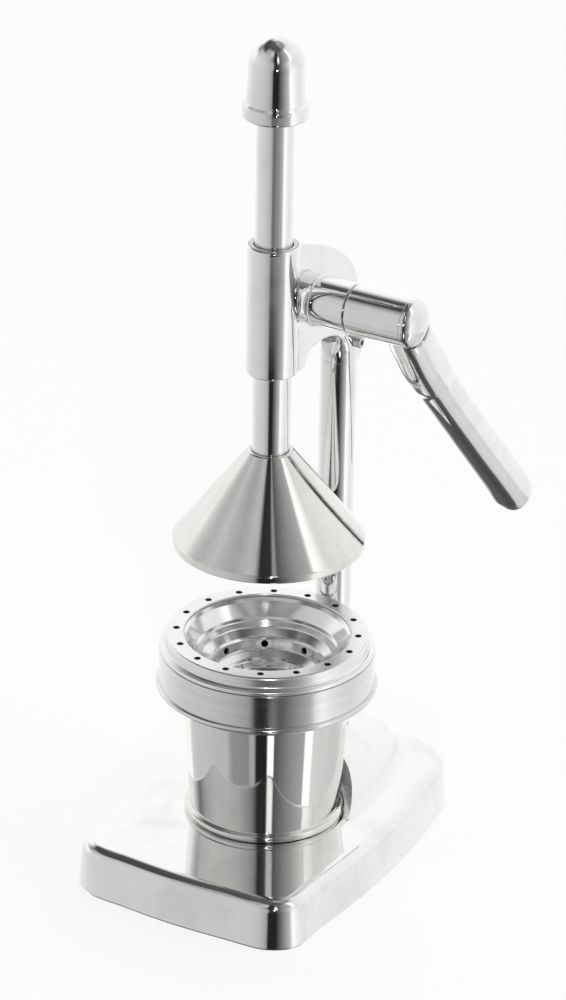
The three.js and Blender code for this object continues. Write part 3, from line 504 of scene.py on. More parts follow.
def perforation_tree():
    """Cuts a circle of round holes: upright ones where Outward is 0, and radial ones where it is 1."""
    name = "Perforations"
    if name in bpy.data.node_groups:
        return bpy.data.node_groups[name]
    tree, given, result = new_tree(name, {
        "Count": ("Int", 16), "Circle radius": ("Float", 0.05), "Hole radius": ("Float", 0.002),
        "Depth": ("Float", 0.01), "Level": ("Float", 0.0), "Start angle": ("Float", 0.0),
        "Outward": ("Float", 0.0)})
    circle = add(tree, "GeometryNodeMeshCircle", {
        "Vertices": given["Count"], "Radius": given["Circle radius"]})
    hole = add(tree, "GeometryNodeMeshCylinder", {
        "Vertices": 28, "Radius": given["Hole radius"], "Depth": given["Depth"]})
    place = add(tree, "GeometryNodeInputPosition").outputs[0]
    radial = add(tree, "ShaderNodeVectorMath", {0: place}, operation="NORMALIZE").outputs[0]
    lean = add(tree, "ShaderNodeMix", {0: given["Outward"], 4: (0.0, 0.0, 1.0), 5: radial},
               data_type="VECTOR")
    aim = add(tree, "FunctionNodeAlignRotationToVector", {"Vector": lean.outputs[1]}, axis="Z")
    copies = add(tree, "GeometryNodeInstanceOnPoints", {
        "Points": circle.outputs["Mesh"], "Instance": hole.outputs["Mesh"], "Rotation": aim.outputs[0]})
    lift = add(tree, "ShaderNodeCombineXYZ", {"Z": given["Level"]})
    swing = add(tree, "ShaderNodeCombineXYZ", {"Z": given["Start angle"]})
    moved = add(tree, "GeometryNodeTransform", {
        "Geometry": copies.outputs[0], "Translation": lift.outputs[0], "Rotation": swing.outputs[0]})
    return cut_tree(tree, moved.outputs[0], given, result)


def rack_tree():
    """Cuts a row of tooth gaps, each the shape of one cutter, at one pitch upwards."""
    tree, given, result = new_tree("Rack teeth", {
        "Cutter": ("Object", None), "Count": ("Int", 22), "Pitch": ("Float", 0.004)})
    cutter = add(tree, "GeometryNodeObjectInfo", {"Object": given["Cutter"]}, transform_space="RELATIVE")
    step = add(tree, "ShaderNodeCombineXYZ", {"Z": given["Pitch"]})
    row = add(tree, "GeometryNodeMeshLine", {"Count": given["Count"], "Offset": step.outputs[0]})
    copies = add(tree, "GeometryNodeInstanceOnPoints", {
        "Points": row.outputs[0], "Instance": cutter.outputs["Geometry"]})
    return cut_tree(tree, copies.outputs[0], given, result)


def rib_tree():
    """Lets ribs grow out of a turned cone: the swell follows the angle, and a stored share fades it out."""
    tree, given, result = new_tree("Cone ribs", {"Ribs": ("Float", 12.0), "Height": ("Float", 0.0015)})
    place = add(tree, "GeometryNodeInputPosition").outputs[0]
    parts = add(tree, "ShaderNodeSeparateXYZ", {0: place}).outputs
    angle = math_node(tree, "ARCTAN2", parts["Y"], parts["X"])
    wave = math_node(tree, "COSINE", math_node(tree, "MULTIPLY", angle, given["Ribs"]))
    crest = math_node(tree, "MAXIMUM", wave, 0.0)
    stored = add(tree, "GeometryNodeInputNamedAttribute", {"Name": "rib_share"}, data_type="FLOAT")
    value = [socket for socket in stored.outputs if socket.type == "VALUE"][0]
    swell = math_node(tree, "MULTIPLY", math_node(tree, "MULTIPLY", crest, value), given["Height"])
    flat = add(tree, "ShaderNodeCombineXYZ", {"X": parts["X"], "Y": parts["Y"]}).outputs[0]
    outward = add(tree, "ShaderNodeVectorMath", {0: flat}, operation="NORMALIZE").outputs[0]
    grown = add(tree, "ShaderNodeVectorMath", {0: outward, "Scale": swell}, operation="SCALE").outputs[0]
    moved = add(tree, "GeometryNodeSetPosition", {"Geometry": given["Geometry"], "Offset": grown})
    return end_tree(tree, moved.outputs[0], given, result)


# Finishes

# Plating: roughness, how much smudges and hairlines add to it, and the height of the slow swell
platings = {
    "Plated casting": (0.035, 0.045, 0.02, 0.6),
    "Plated base": (0.035, 0.045, 0.02, 0.6),
    "Plated bar": (0.03, 0.03, 0.02, 0.25),
}
# Grained finishes: colour, how dark its grain is, stretch of the grain, roughness, how far it spreads,
# height of the grain in millimetres, and metallic
grains = {
    "Polished steel": ("polished", 0.9, (900.0, 900.0, 14.0), 0.055, 0.07, 0.0008, 1.0),
    "Brushed steel": ("brushed", 0.86, (40.0, 40.0, 1300.0), 0.13, 0.1, 0.0012, 1.0),
    "Satin steel": ("satin", 0.9, (25.0, 25.0, 900.0), 0.26, 0.14, 0.003, 1.0),
    "Pressed steel": ("pressed", 0.94, (25.0, 25.0, 700.0), 0.13, 0.1, 0.002, 0.82),
    "Machined steel": ("machined", 0.75, (900.0, 900.0, 900.0), 0.2, 0.15, 0.004, 1.0),
    "Cast aluminium": ("cast", 0.8, (700.0, 700.0, 700.0), 0.38, 0.25, 0.02, 1.0),
    "Bronze": ("bronze", 0.7, (1200.0, 1200.0, 1200.0), 0.4, 0.3, 0.02, 1.0),
    "Matt rubber": ("rubber", 1.7, (800.0, 800.0, 800.0), 0.8, 0.25, 0.05, 0.0),
}


def shader_group(name, inputs, outputs):
    """Shader node group; an input without a default is a vector, and all others are numbers."""
    kinds = {label: ("Vector" if default is None else "Float", default) for label, default in inputs.items()}
    return new_group(name, "ShaderNodeTree", kinds, dict.fromkeys(outputs, "Float"))


def handling_group():
    """Smudges, faint hairlines and the slow swell of polished metal."""
    name = "Handling marks"
    if name in bpy.data.node_groups:
        return bpy.data.node_groups[name]
    tree, given, marks = shader_group(
        name, {"Vector": None, "Roughness": 0.05, "Smudge": 0.05, "Hairline": 0.03, "Swell": 1.0},
        ("Roughness", "Height", "Tone"))
    vector = given["Vector"]
    smudges = between(tree, noise(tree, vector, 38.0, 4.0, 0.6), 0.48, 0.72)
    strokes = add(tree, "ShaderNodeMapping", {
        "Vector": vector, "Rotation": (0.4, 0.9, 0.3), "Scale": (900.0, 40.0, 40.0)}).outputs[0]
    hairline = between(tree, noise(tree, strokes, 1.0, 2.0, 0.7), 0.66, 0.74)
    hairs = math_node(tree, "MULTIPLY", hairline, given["Hairline"])
    rough = math_node(tree, "MULTIPLY_ADD", smudges, given["Smudge"], given["Roughness"])
    swell = math_node(tree, "MULTIPLY", noise(tree, vector, 55.0, 1.0, 0.3), given["Swell"])
    tree.links.new(math_node(tree, "ADD", rough, hairs), marks["Roughness"])
    tree.links.new(math_node(tree, "MULTIPLY_ADD", hairs, -0.2, swell), marks["Height"])
    tree.links.new(smudges, marks["Tone"])
    return tree


def grain_group():
    """Fine drawn lines of brushed, turned or satin metal; Stretch sets their direction."""
    name = "Drawn grain"
    if name in bpy.data.node_groups:
        return bpy.data.node_groups[name]
    tree, given, marks = shader_group(
        name, {"Vector": None, "Stretch": None, "Roughness": 0.25, "Spread": 0.15},
        ("Roughness", "Height", "Tone"))
    scaled = add(tree, "ShaderNodeVectorMath", {0: given["Vector"], 1: given["Stretch"]},
                 operation="MULTIPLY").outputs[0]
    fine = noise(tree, scaled, 1.0, 5.0, 0.65)
    broad = noise(tree, scaled, 0.16, 2.0, 0.5)
    both = math_node(tree, "MULTIPLY_ADD", broad, 0.5, math_node(tree, "MULTIPLY", fine, 0.5))
    middle = math_node(tree, "SUBTRACT", both, 0.5)
    tree.links.new(math_node(tree, "MULTIPLY_ADD", middle, given["Spread"], given["Roughness"]),
                   marks["Roughness"])
    tree.links.new(both, marks["Height"])
    tree.links.new(between(tree, both, 0.35, 0.65), marks["Tone"])
    return tree


def seat_group():
    """Masks the wall of the seat, inside a radius and over a level: rougher and less like a mirror."""
    tree, given, masks = shader_group(
        "Seat wall", {"Vector": None, "Radius": 0.045, "Level": 0.027, "Roughness": 0.05},
        ("Roughness", "Metallic"))
    parts = add(tree, "ShaderNodeSeparateXYZ", {0: given["Vector"]}).outputs
    flat = add(tree, "ShaderNodeCombineXYZ", {"X": parts["X"], "Y": parts["Y"]}).outputs[0]
    reach = add(tree, "ShaderNodeVectorMath", {0: flat}, operation="LENGTH").outputs["Value"]
    inside = math_node(tree, "LESS_THAN", reach, given["Radius"])
    above = math_node(tree, "GREATER_THAN", parts["Z"], given["Level"])
    wall = math_node(tree, "MULTIPLY", inside, above)
    tree.links.new(math_node(tree, "MULTIPLY_ADD", wall, 0.15, given["Roughness"]), masks["Roughness"])
    tree.links.new(math_node(tree, "MULTIPLY_ADD", wall, -0.45, 1.0), masks["Metallic"])
    return tree


def coat(name, group, values, bright, dark, height, metallic):
    """Material whose colour, roughness and fine relief come from a group of marks."""
    material = bpy.data.materials.new(name)
    material.use_nodes = True
    tree = material.node_tree
    shader = tree.nodes["Principled BSDF"].inputs
    shader["Metallic"].default_value = metallic
    place = add(tree, "ShaderNodeTexCoord").outputs["Object"]
    marks = add(tree, "ShaderNodeGroup", {"Vector": place, **values}, node_tree=group).outputs
    relief = add(tree, "ShaderNodeBump", {
        "Strength": 1.0, "Distance": height * mm, "Height": marks["Height"]})
    tree.links.new(blend(tree, marks["Tone"], (*bright, 1.0), (*dark, 1.0)), shader["Base Color"])
    tree.links.new(marks["Roughness"], shader["Roughness"])
    tree.links.new(relief.outputs[0], shader["Normal"])
    return material


def finish(name):
    """Material of a finish, made once."""
    if name in bpy.data.materials:
        return bpy.data.materials[name]
    tones = sizes(bpy.context).finishes
    if name in platings:
        values = dict(zip(("Roughness", "Smudge", "Hairline", "Swell"), platings[name]))
        return coat(name, handling_group(), values, tones.plating, tones.plating_shadow, 0.05, 1.0)
    tone, depth, stretch, roughness, spread, height, metallic = grains[name]
    bright = getattr(tones, tone)
    dark = [channel * depth for channel in bright]
    values = {"Stretch": stretch, "Roughness": roughness, "Spread": spread}
    return coat(name, grain_group(), values, bright, dark, height, metallic)


def seat_plating(base):
    """Gives the base's plating the unpolished wall of the cup's seat."""
    tree = finish("Plated base").node_tree
    shader = tree.nodes["Principled BSDF"].inputs
    seat = add(tree, "ShaderNodeGroup", {
        "Vector": add(tree, "ShaderNodeTexCoord").outputs["Object"],
        "Radius": base.seat_radius + 0.1 * mm, "Level": base.top + 0.3 * mm,
        "Roughness": shader["Roughness"].links[0].from_socket}, node_tree=seat_group()).outputs
    tree.links.new(seat["Roughness"], shader["Roughness"])
    tree.links.new(seat["Metallic"], shader["Metallic"])


# Pieces

class PressOperator:
    """What the operators of the pieces share."""

    bl_options = {"REGISTER", "UNDO"}

    def execute(self, context):
        self.build(sizes(context))
        return {"FINISHED"}


class OBJECT_OT_press_base(PressOperator, bpy.types.Operator):
    """Base casting: rounded slab, hump behind the cup, and the cup's round seat"""

    bl_idname = "object.press_base"
    bl_label = "Base"
    plan_shares = ((0, -1), (0.44, -0.985), (0.79, -0.957), (0.948, -0.845), (0.975, -0.55), (1, -0.1),
                   (0.975, 0.28), (0.9, 0.6), (0.8, 0.84), (0.6, 0.96), (0.3, 0.995), (0, 1))

    def plan(self, size):
        right = [Vector((x * size.half_width, y * (size.front if y < 0 else size.back)))
                 for x, y in self.plan_shares]
        left = [Vector((-point.x, point.y)) for point in reversed(right[1:-1])]
        return through(right + left, 10, closed=True)

    def ring(self, plan, inset, level):
        return [Vector((*point, level)) for point in inward(plan, [inset] * len(plan))]

    def slab(self, size, plan):
        """Slab with a small round at its foot, leaning sides and a full round at its top."""
        foot_round, draft, support, steps = 1.2 * mm, size.side_draft, 0.2 * mm, 12
        shoulder = size.top - size.edge_round
        profile = [(foot_round, size.foot), (0.4 * foot_round, size.foot + 0.2 * foot_round),
                   (0, size.foot + foot_round), (0.02 * draft, size.foot + foot_round + support),
                   (0.98 * draft, shoulder - support)]
        for step in range(steps + 1):
            angle = math.radians(90 * step / steps)
            profile.append((draft + size.edge_round * (1 - math.cos(angle)),
                            shoulder + size.edge_round * math.sin(angle)))
        profile.append((draft + size.edge_round + 0.15 * mm, size.top))
        return loft("base_casting_plated", [self.ring(plan, inset, level) for inset, level in profile])

    def hump(self, size):
        """Oval dome with a hollow flare at its foot, cut away in front and over the cup's seat."""
        flare, flare_end, flare_steps = size.hump_flare, math.radians(64), 9
        dome_steps, sides = 31, 160
        lap = 0.02 * mm
        start = math.asin(flare * (1 - math.cos(flare_end)) / size.hump_height)
        inside = flare * (1 - math.sin(flare_end))
        sections = [(start, flare - inside, -3 * mm), (start, flare - inside, -lap)]
        for step in range(1, flare_steps + 1):
            a = flare_end * step / flare_steps
            sections.append((start, flare * (1 - math.sin(a)) - inside, flare * (1 - math.cos(a)) - lap))
        for step in range(1, dome_steps):
            a = start + (math.pi / 2 - start) * step / dome_steps
            sections.append((a, 0.0, size.hump_height * math.sin(a)))
        turns = [2 * math.pi * i / sides for i in range(sides)]
        rings = []
        for a, out, rise in sections:
            wide = size.hump_half_width * math.cos(a) + out
            deep = size.hump_reach * math.cos(a) + 0.25 * out
            rings.append([Vector((wide * math.cos(t), size.hump_centre + deep * math.sin(t), size.top + rise))
                          for t in turns])
        hump = loft("hump", rings, (None, Vector((0, size.hump_centre, size.top + size.hump_height))))
        below, above, far = size.top - 10 * mm, size.top + 60 * mm, 0.2
        seat = pin("seat", size.seat_radius, below, above, sides)
        front = upright("front", ((-far, -far), (far, -far), (far, 0.0), (-far, 0.0)), below, above)
        return cut(hump, seat, front)

    def build(self, size):
        base, column = size.base, size.column
        post_hole = column.post_radius + 0.15 * mm
        bolt_hole, bolt_reach, counterbore_radius, counterbore_top = 4.3 * mm, 20 * mm, 10.4 * mm, 11 * mm
        pad_inset, pad_recess = 5 * mm, 2.52 * mm
        plan = self.plan(base)
        slab = join(self.slab(base, plan), self.hump(base))
        centre = (0.0, column.post_behind)
        socket = pin("socket", post_hole, column.post_foot - 0.2 * mm, 80 * mm, centre=centre)
        bolt = pin("bolt", bolt_hole, 0, bolt_reach, centre=centre)
        counterbore = pin("counterbore", counterbore_radius, -overrun, counterbore_top, centre=centre)
        pad = loft("pad", [self.ring(plan, pad_inset, level) for level in (-overrun, pad_recess)])
        cut(slab, socket, bolt, counterbore, pad)
        seat_plating(base)
        dress(slab, "frame", "Plated base", "base_casting")


class OBJECT_OT_press_post(PressOperator, bpy.types.Operator):
    """Post: plain plated column with a spigot for the head"""

    bl_idname = "object.press_post"
    bl_label = "Post"

    def build(self, size):
        column = size.column
        radius, foot, top = column.post_radius, column.post_foot, high("post").z
        line_under_head = 0.08 * mm
        shoulder = size.head.foot - line_under_head
        spigot, bolt_bore, bore_top = 6.8 * mm, 4.12 * mm, 27.4 * mm
        centre = (0.0, column.post_behind)
        post = lathe("post_plated", rounded([
            (0, foot, 0), (radius, foot, 0.5 * mm), (radius, shoulder, 0.15 * mm), (spigot, shoulder, 0),
            (spigot, top, 0.8 * mm), (0, top, 0)]), 96, centre)
        cut(post, pin("bore", bolt_bore, foot - overrun, bore_top, 32, centre=centre))
        dress(post, "frame", "Plated bar", "post")


class OBJECT_OT_press_head(PressOperator, bpy.types.Operator):
    """Head casting: side plate with its arch and leg, guide sleeve and boss"""

    bl_idname = "object.press_head"
    bl_label = "Head"
    crown_shares = ((0.077, 0.99), (0.3, 0.927), (0.54, 0.834), (0.736, 0.723), (0.835, 0.63), (0.9, 0.52),
                    (0.962, 0.33), (0.999, 0.13), (0.992, 0.055), (0.95, 0.0), (0.92, -0.05))
    arch_shares = ((0.7513, -0.05), (0.7513, 0.03), (0.745, 0.09), (0.735, 0.135), (0.705, 0.18),
                   (0.634, 0.231), (0.483, 0.268), (0.3, 0.262), (0.253, 0.24), (0.229, 0.185),
                   (0.175, 0.165))

    def plate(self, size, column):
        """Flat-sided plate, from the middle of the sleeve to the back of the post, with round edges."""
        depth = column.post_behind + column.post_radius
        rise = size.top - size.foot
        start, end, steps = size.sleeve_foot + 0.8 * mm, size.top - 0.8 * mm, 8
        crown, arch = (
            through([Vector((behind * depth, size.foot + up * rise)) for behind, up in shares], steps)
            for shares in (self.crown_shares, self.arch_shares))
        outline = [Vector((0, start)), Vector((0, end)), *crown, *arch]
        outline.reverse()
        rounds = [self.edge_round(size, column, point) for point in outline]
        half = size.half_thickness
        rings = [[Vector((-half, *point)) for point in inward(outline, [r + 0.12 * mm for r in rounds])]]
        for step in range(steps + 1):
            angle = math.radians(90 * step / steps)
            edge = inward(outline, [r * (1 - math.sin(angle)) for r in rounds])
            rings.append([Vector((-half + r * (1 - math.cos(angle)), *point))
                          for point, r in zip(edge, rounds)])
        mirrored = [[Vector((-point.x, point.y, point.z)) for point in ring] for ring in reversed(rings)]
        return loft("head_casting_plated", rings + mirrored)

    def edge_round(self, size, column, point):
        """Rounding of the plate's edge: full at the front of the leg, so that it follows the post."""
        front = column.post_behind - column.post_radius
        beyond, full_height, full_share, power = 4 * mm, 6 * mm, 0.985, 1.2
        beside_leg = point.x < front - beyond or point.x > column.post_behind
        if beside_leg or point.y > size.sleeve_foot + beyond:
            return size.edge_round
        fade = max(0.0, (point.y - size.foot - full_height) / (size.sleeve_foot - size.foot))
        fade = min(1.0, fade) ** power
        return size.half_thickness * full_share * (1 - fade) + size.edge_round * fade

    def build(self, size):
        head, column = size.head, size.column
        foot, top, radius = head.sleeve_foot, head.top, head.barrel_radius
        barrel = (head.barrel_behind, head.barrel_level)
        post = (0.0, column.post_behind)
        casting = self.plate(head, column)
        sleeve = lathe("sleeve", rounded([
            (0, foot, 0), (head.sleeve_radius, foot, 1.1 * mm), (head.sleeve_radius, top, 1.9 * mm),
            (0, top, 0)], steps=8), 128)
        boss_start, soft = 7.7 * mm, 0.3 * mm
        ring = radius + 0.8 * mm
        ring_start = head.half_thickness + 3.8 * mm
        ring_end = ring_start + 2.4 * mm
        boss = lathe("boss", rounded([
            (0, boss_start, 0), (radius, boss_start, 0), (radius, ring_start, soft),
            (ring, ring_start + 0.2 * mm, 0.6 * mm), (ring, ring_end - 0.2 * mm, 0.6 * mm),
            (radius, ring_end, soft), (radius, head.boss_end, soft), (0, head.boss_end, 0)]),
            128, along_barrel=barrel)
        join(casting, sleeve, boss)
        half, front, back = 0.03, 0.045, 0.09
        under = upright("under", ((-half, front), (half, front), (half, back), (-half, back)),
                        head.foot - 20 * mm, head.foot)
        bush, guide, bush_depth = 12.42 * mm, 10.15 * mm, 16.1 * mm
        below, above, lower, upper = foot - overrun, top + overrun, foot + bush_depth, top - bush_depth
        ram_bore = lathe("ram_bore", [Vector(pair) for pair in (
            (0, below), (bush, below), (bush, lower), (guide, lower), (guide, upper), (bush, upper),
            (bush, above), (0, above))], 112)
        shaft_hole, cavity_radius, cavity_start, cavity_end = 8.62 * mm, 14.35 * mm, -12 * mm, 5.8 * mm
        shaft_bore = pin("shaft_bore", shaft_hole, 0, head.boss_end + overrun, 64, along_barrel=barrel)
        cavity = pin("cavity", cavity_radius, cavity_start, cavity_end, 80, along_barrel=barrel)
        spigot_hole, spigot_reach, screw_hole, screw_reach = 6.92 * mm, 27.3 * mm, 2.52 * mm, 12 * mm
        socket = pin("socket", spigot_hole, head.foot - overrun, head.foot + spigot_reach, 48, centre=post)
        screw = pin("screw", screw_hole, 0, screw_reach, 32,
                    along_barrel=(column.post_behind, head.foot + screw_rise))
        cut(casting, under, ram_bore, cavity, shaft_bore, socket, screw)
        dress(casting, "frame", "Plated casting", "head_casting")


class OBJECT_OT_press_bearings(PressOperator, bpy.types.Operator):
    """Guide bushes, bearing cap, thrust washer and screws of the head"""

    bl_idname = "object.press_bearings"
    bl_label = "Bearings and screws"

    def guide_bush(self, column, name, face, side):
        bore = column.ram_radius + 0.3 * mm
        outer, flange, soft = 11.55 * mm, 12.25 * mm, 0.1 * mm
        inner_end, shoulder = face - side * 16 * mm, face - side * 1.2 * mm
        bush = lathe(name + "_turned", rounded([
            (bore, inner_end, 0.2 * mm), (outer, inner_end, 0.2 * mm), (outer, shoulder, soft),
            (flange, shoulder, soft), (flange, face, 0.25 * mm), (bore, face, 0.7 * mm)],
            closed=True, steps=4), 96, closed=True)
        dress(bush, "frame", "Machined steel", name)

    def bearing_cap(self, size, column, barrel):
        """Dished cap over the pinion's bore, hollowed round the sleeve, with a spigot round the shaft."""
        face = -size.half_thickness - fit_gap
        outer = face - 2.2 * mm
        dish = outer + 0.5 * mm
        radius, dish_edge, dish_radius = 16.4 * mm, 12.2 * mm, 11.4 * mm
        cap = lathe("bearing_cap_plated", rounded([
            (0, face, 0), (radius, face, 0.2 * mm), (radius, outer, 1.1 * mm), (dish_edge, outer, 0.4 * mm),
            (dish_radius, dish, 0.4 * mm), (0, dish, 0)]), 96, along_barrel=barrel)
        below, above = size.barrel_level - 30 * mm, size.barrel_level + 30 * mm
        cut(cap, pin("clear", size.sleeve_radius + 0.3 * mm, below, above, 112))
        spigot_radius, spigot_end = 14.2 * mm, -6.1 * mm
        spigot = pin("spigot", spigot_radius, spigot_end, face - 0.3 * mm, 80, along_barrel=barrel)
        cut(spigot, pin("ram", column.ram_radius + 0.6 * mm, below, above, 96))
        join(cap, spigot)
        journal_radius, journal_start, journal_end = 6.3 * mm, -11.0 * mm, -3 * mm
        bore = pin("bore", journal_radius, journal_start, journal_end, 48, along_barrel=barrel)
        cut(cap, bore)
        dress(cap, "frame", "Plated casting", "bearing_cap")

    def clamp_screw(self, size, place):
        start, end = low("post_clamp_screw").x, high("post_clamp_screw").x
        shank, radius, seat = 2.4 * mm, 2.95 * mm, size.half_thickness + fit_gap
        key_radius, key_depth = 1.5 * mm, 2.2 * mm
        screw = lathe("post_clamp_screw_turned", rounded([
            (0, start, 0), (shank, start, 0.3 * mm), (shank, seat, 0), (radius, seat, 0.1 * mm),
            (radius, end, 0.5 * mm), (0, end, 0)]), 48, along_barrel=place)
        key = pin("key", key_radius, end - key_depth, end + 1 * mm, 6, along_barrel=place)
        cut(screw, key)
        dress(screw, "frame", "Machined steel", "post_clamp_screw")

    def washer(self, barrel):
        start, end = low("thrust_washer").x, high("thrust_washer").x
        bore, radius, soft = 6.3 * mm, 11.6 * mm, 0.1 * mm
        corners = [(bore, start, soft), (radius, start, soft), (radius, end, soft), (bore, end, soft)]
        washer = lathe("thrust_washer_turned", rounded(corners, closed=True, steps=2), 96, closed=True,
                       along_barrel=barrel)
        dress(washer, "lever", "Machined steel", "thrust_washer")

    def build(self, size):
        head, column = size.head, size.column
        barrel = (head.barrel_behind, head.barrel_level)
        self.guide_bush(column, "guide_bush_upper", head.top, 1)
        self.guide_bush(column, "guide_bush_lower", head.sleeve_foot, -1)
        self.bearing_cap(head, column, barrel)
        self.clamp_screw(head, (column.post_behind, head.foot + screw_rise))
        self.washer(barrel)


class OBJECT_OT_press_ram(PressOperator, bpy.types.Operator):
    """Ram: bar with its spigot and the rack cut in its back"""

    bl_idname = "object.press_ram"
    bl_label = "Ram"

    def build(self, size):
        column = size.column
        foot, top, radius, spigot = column.ram_foot, column.ram_top, column.ram_radius, 6.0 * mm
        shoulder = size.bell.top - size.bell.wall
        bar = lathe("ram_rod_plated", rounded([
            (0, foot, 0), (spigot, foot, 0.8 * mm), (spigot, shoulder, 0), (radius, shoulder, 0.1 * mm),
            (radius, top, 0.8 * mm), (0, top, 0)]), 128)
        teeth_below, half = 5, 12 * mm
        tip, root, outside, flank_slope = 9.1 * mm, 6.225 * mm, 12 * mm, 0.364
        module, backlash, pressure = 1.25 * mm, 0.075 * mm, math.radians(20)
        flank = (tip - root) * math.tan(pressure)
        pitch = column.rack_pitch
        half_gap = pitch / 2 - (pitch / 4 - backlash - module * math.tan(pressure))
        start = size.head.barrel_level - (teeth_below + 0.5) * pitch
        end = start + column.rack_teeth * pitch
        lower, upper = start - half_gap + flank, end + half_gap - flank
        flat = crosswise("flat", ((tip, lower), (outside, lower), (outside, upper), (tip, upper)), half)
        cut(bar, flat)
        lean = (outside - tip) * flank_slope
        gap = crosswise("gap", [(y, start + z) for y, z in (
            (root, -half_gap + flank), (outside, -half_gap - lean), (outside, half_gap + lean),
            (root, half_gap - flank))], half)
        run_tree(bar, rack_tree(), {"Cutter": gap, "Count": column.rack_teeth + 1, "Pitch": pitch,
                                    "Material": finish("Plated bar")})
        bpy.data.objects.remove(gap)
        dress(bar, "ram", "Plated bar", "ram_rod")


class OBJECT_OT_press_knob(PressOperator, bpy.types.Operator):
    """Knob: domed cap with a round skirt on the ram's top end"""

    bl_idname = "object.press_knob"
    bl_label = "Knob"

    def build(self, size):
        column = size.column
        foot, top, skirt, width = column.knob_foot, column.knob_top, column.knob_radius, column.dome_radius
        waist = foot + 8.8 * mm
        side = waist + 1.5 * mm
        crown = top - column.dome_height
        neck = width + 0.75 * mm
        underside, mouth, steps = foot + 0.1 * mm, 9.9 * mm, 16
        profile = rounded([(0, underside, 0), (mouth, underside, 0), (skirt, foot, 1.3 * mm),
                           (skirt, waist - 2.2 * mm, 2.6 * mm), (neck, waist, 3.0 * mm), (neck, side, 0)])
        for step in range(1, steps + 1):
            left = 1 - step / steps
            profile.append(Vector((width + (neck - width) * left * left,
                                   side + (crown - side) * step / steps)))
        knob = lathe("ram_knob_plated", profile + dome(width, crown, top, 40), 128)
        bore = pin("bore", column.ram_radius + fit_gap, foot - overrun, column.ram_top + 0.3 * mm, 96)
        cut(knob, bore)
        dress(knob, "ram", "Plated bar", "ram_knob")


class OBJECT_OT_press_bell(PressOperator, bpy.types.Operator):
    """Press bell: hollow cone with a short upright lip"""

    bl_idname = "object.press_bell"
    bl_label = "Press bell"

    def build(self, size):
        bell = size.bell
        wall, foot, top, radius, neck = bell.wall, bell.foot, bell.top, bell.radius, bell.neck_radius
        lip = foot + bell.lip_height
        slope = (radius - neck) / (top - lip)
        slant = wall * math.sqrt(1 + slope * slope)
        ceiling = top - 2 * wall
        seat = top - wall - fit_gap
        recess = size.column.ram_radius + 0.3 * mm
        piece = lathe("press_bell_polished", rounded([
            (spigot_bore, ceiling, 0), (neck - slant + slope * wall, ceiling, 1.0 * mm),
            (radius - slant, lip, 1.2 * mm), (radius - wall, lip - wall, 1.0 * mm),
            (radius - wall, foot, 0.6 * mm), (radius, foot, 0.6 * mm), (radius, lip, 2.2 * mm),
            (neck + 0.4 * mm, top, 1.3 * mm), (recess, top, 0.35 * mm), (recess, seat, 0),
            (spigot_bore, seat, 0)], closed=True, steps=7), 160, closed=True)
        dress(piece, "ram", "Polished steel", "press_bell")


class OBJECT_OT_press_cone(PressOperator, bpy.types.Operator):
    """Press cone: ribbed nose inside the bell"""

    bl_idname = "object.press_cone"
    bl_label = "Press cone"
    # Shares of the height, of the way out from the neck or the axis, and of the ribs' height
    shares = ((0, 0, 0), (0.05, 0.12, 0.1), (0.36, 0.75, 0.7), (0.5, 0.96, 1), (0.6, 1, 1), (0.72, 0.93, 1),
              (0.84, 0.77, 0.9), (0.93, 0.52, 0.6), (0.985, 0.24, 0.2), (1, 0.0, 0))

    def build(self, size):
        bell = size.bell
        neck = 10.0 * mm
        points = []
        for down, out, rib in self.shares:
            inner = neck if down < 0.5 else 0.0
            points.append(Vector((inner + (bell.cone_radius - inner) * out,
                                  bell.cone_top + (bell.cone_nose - bell.cone_top) * down, rib * mm)))
        line = through(points, 6)
        line[-1].x = 0.0
        profile = [Vector((0, bell.cone_top, 0))] + line
        cone = lathe("press_cone_cast", [Vector((max(point.x, 0.0), point.y)) for point in profile], 192)
        levels = sorted((point.y, max(0.0, min(1.0, point.z / mm))) for point in profile)
        stored = cone.data.attributes.new("rib_share", "FLOAT", "POINT")
        for vertex, item in zip(cone.data.vertices, stored.data):
            item.value = min(levels, key=lambda pair: abs(pair[0] - vertex.co.z))[1]
        run_tree(cone, rib_tree(), {
            "Ribs": float(bell.ribs), "Height": bell.rib_height, "Material": finish("Cast aluminium")})
        bore = pin("bore", spigot_bore, size.column.ram_foot - 0.3 * mm, bell.cone_top + overrun, 48)
        cut(cone, bore)
        dress(cone, "ram", "Cast aluminium", "press_cone", crease=50)


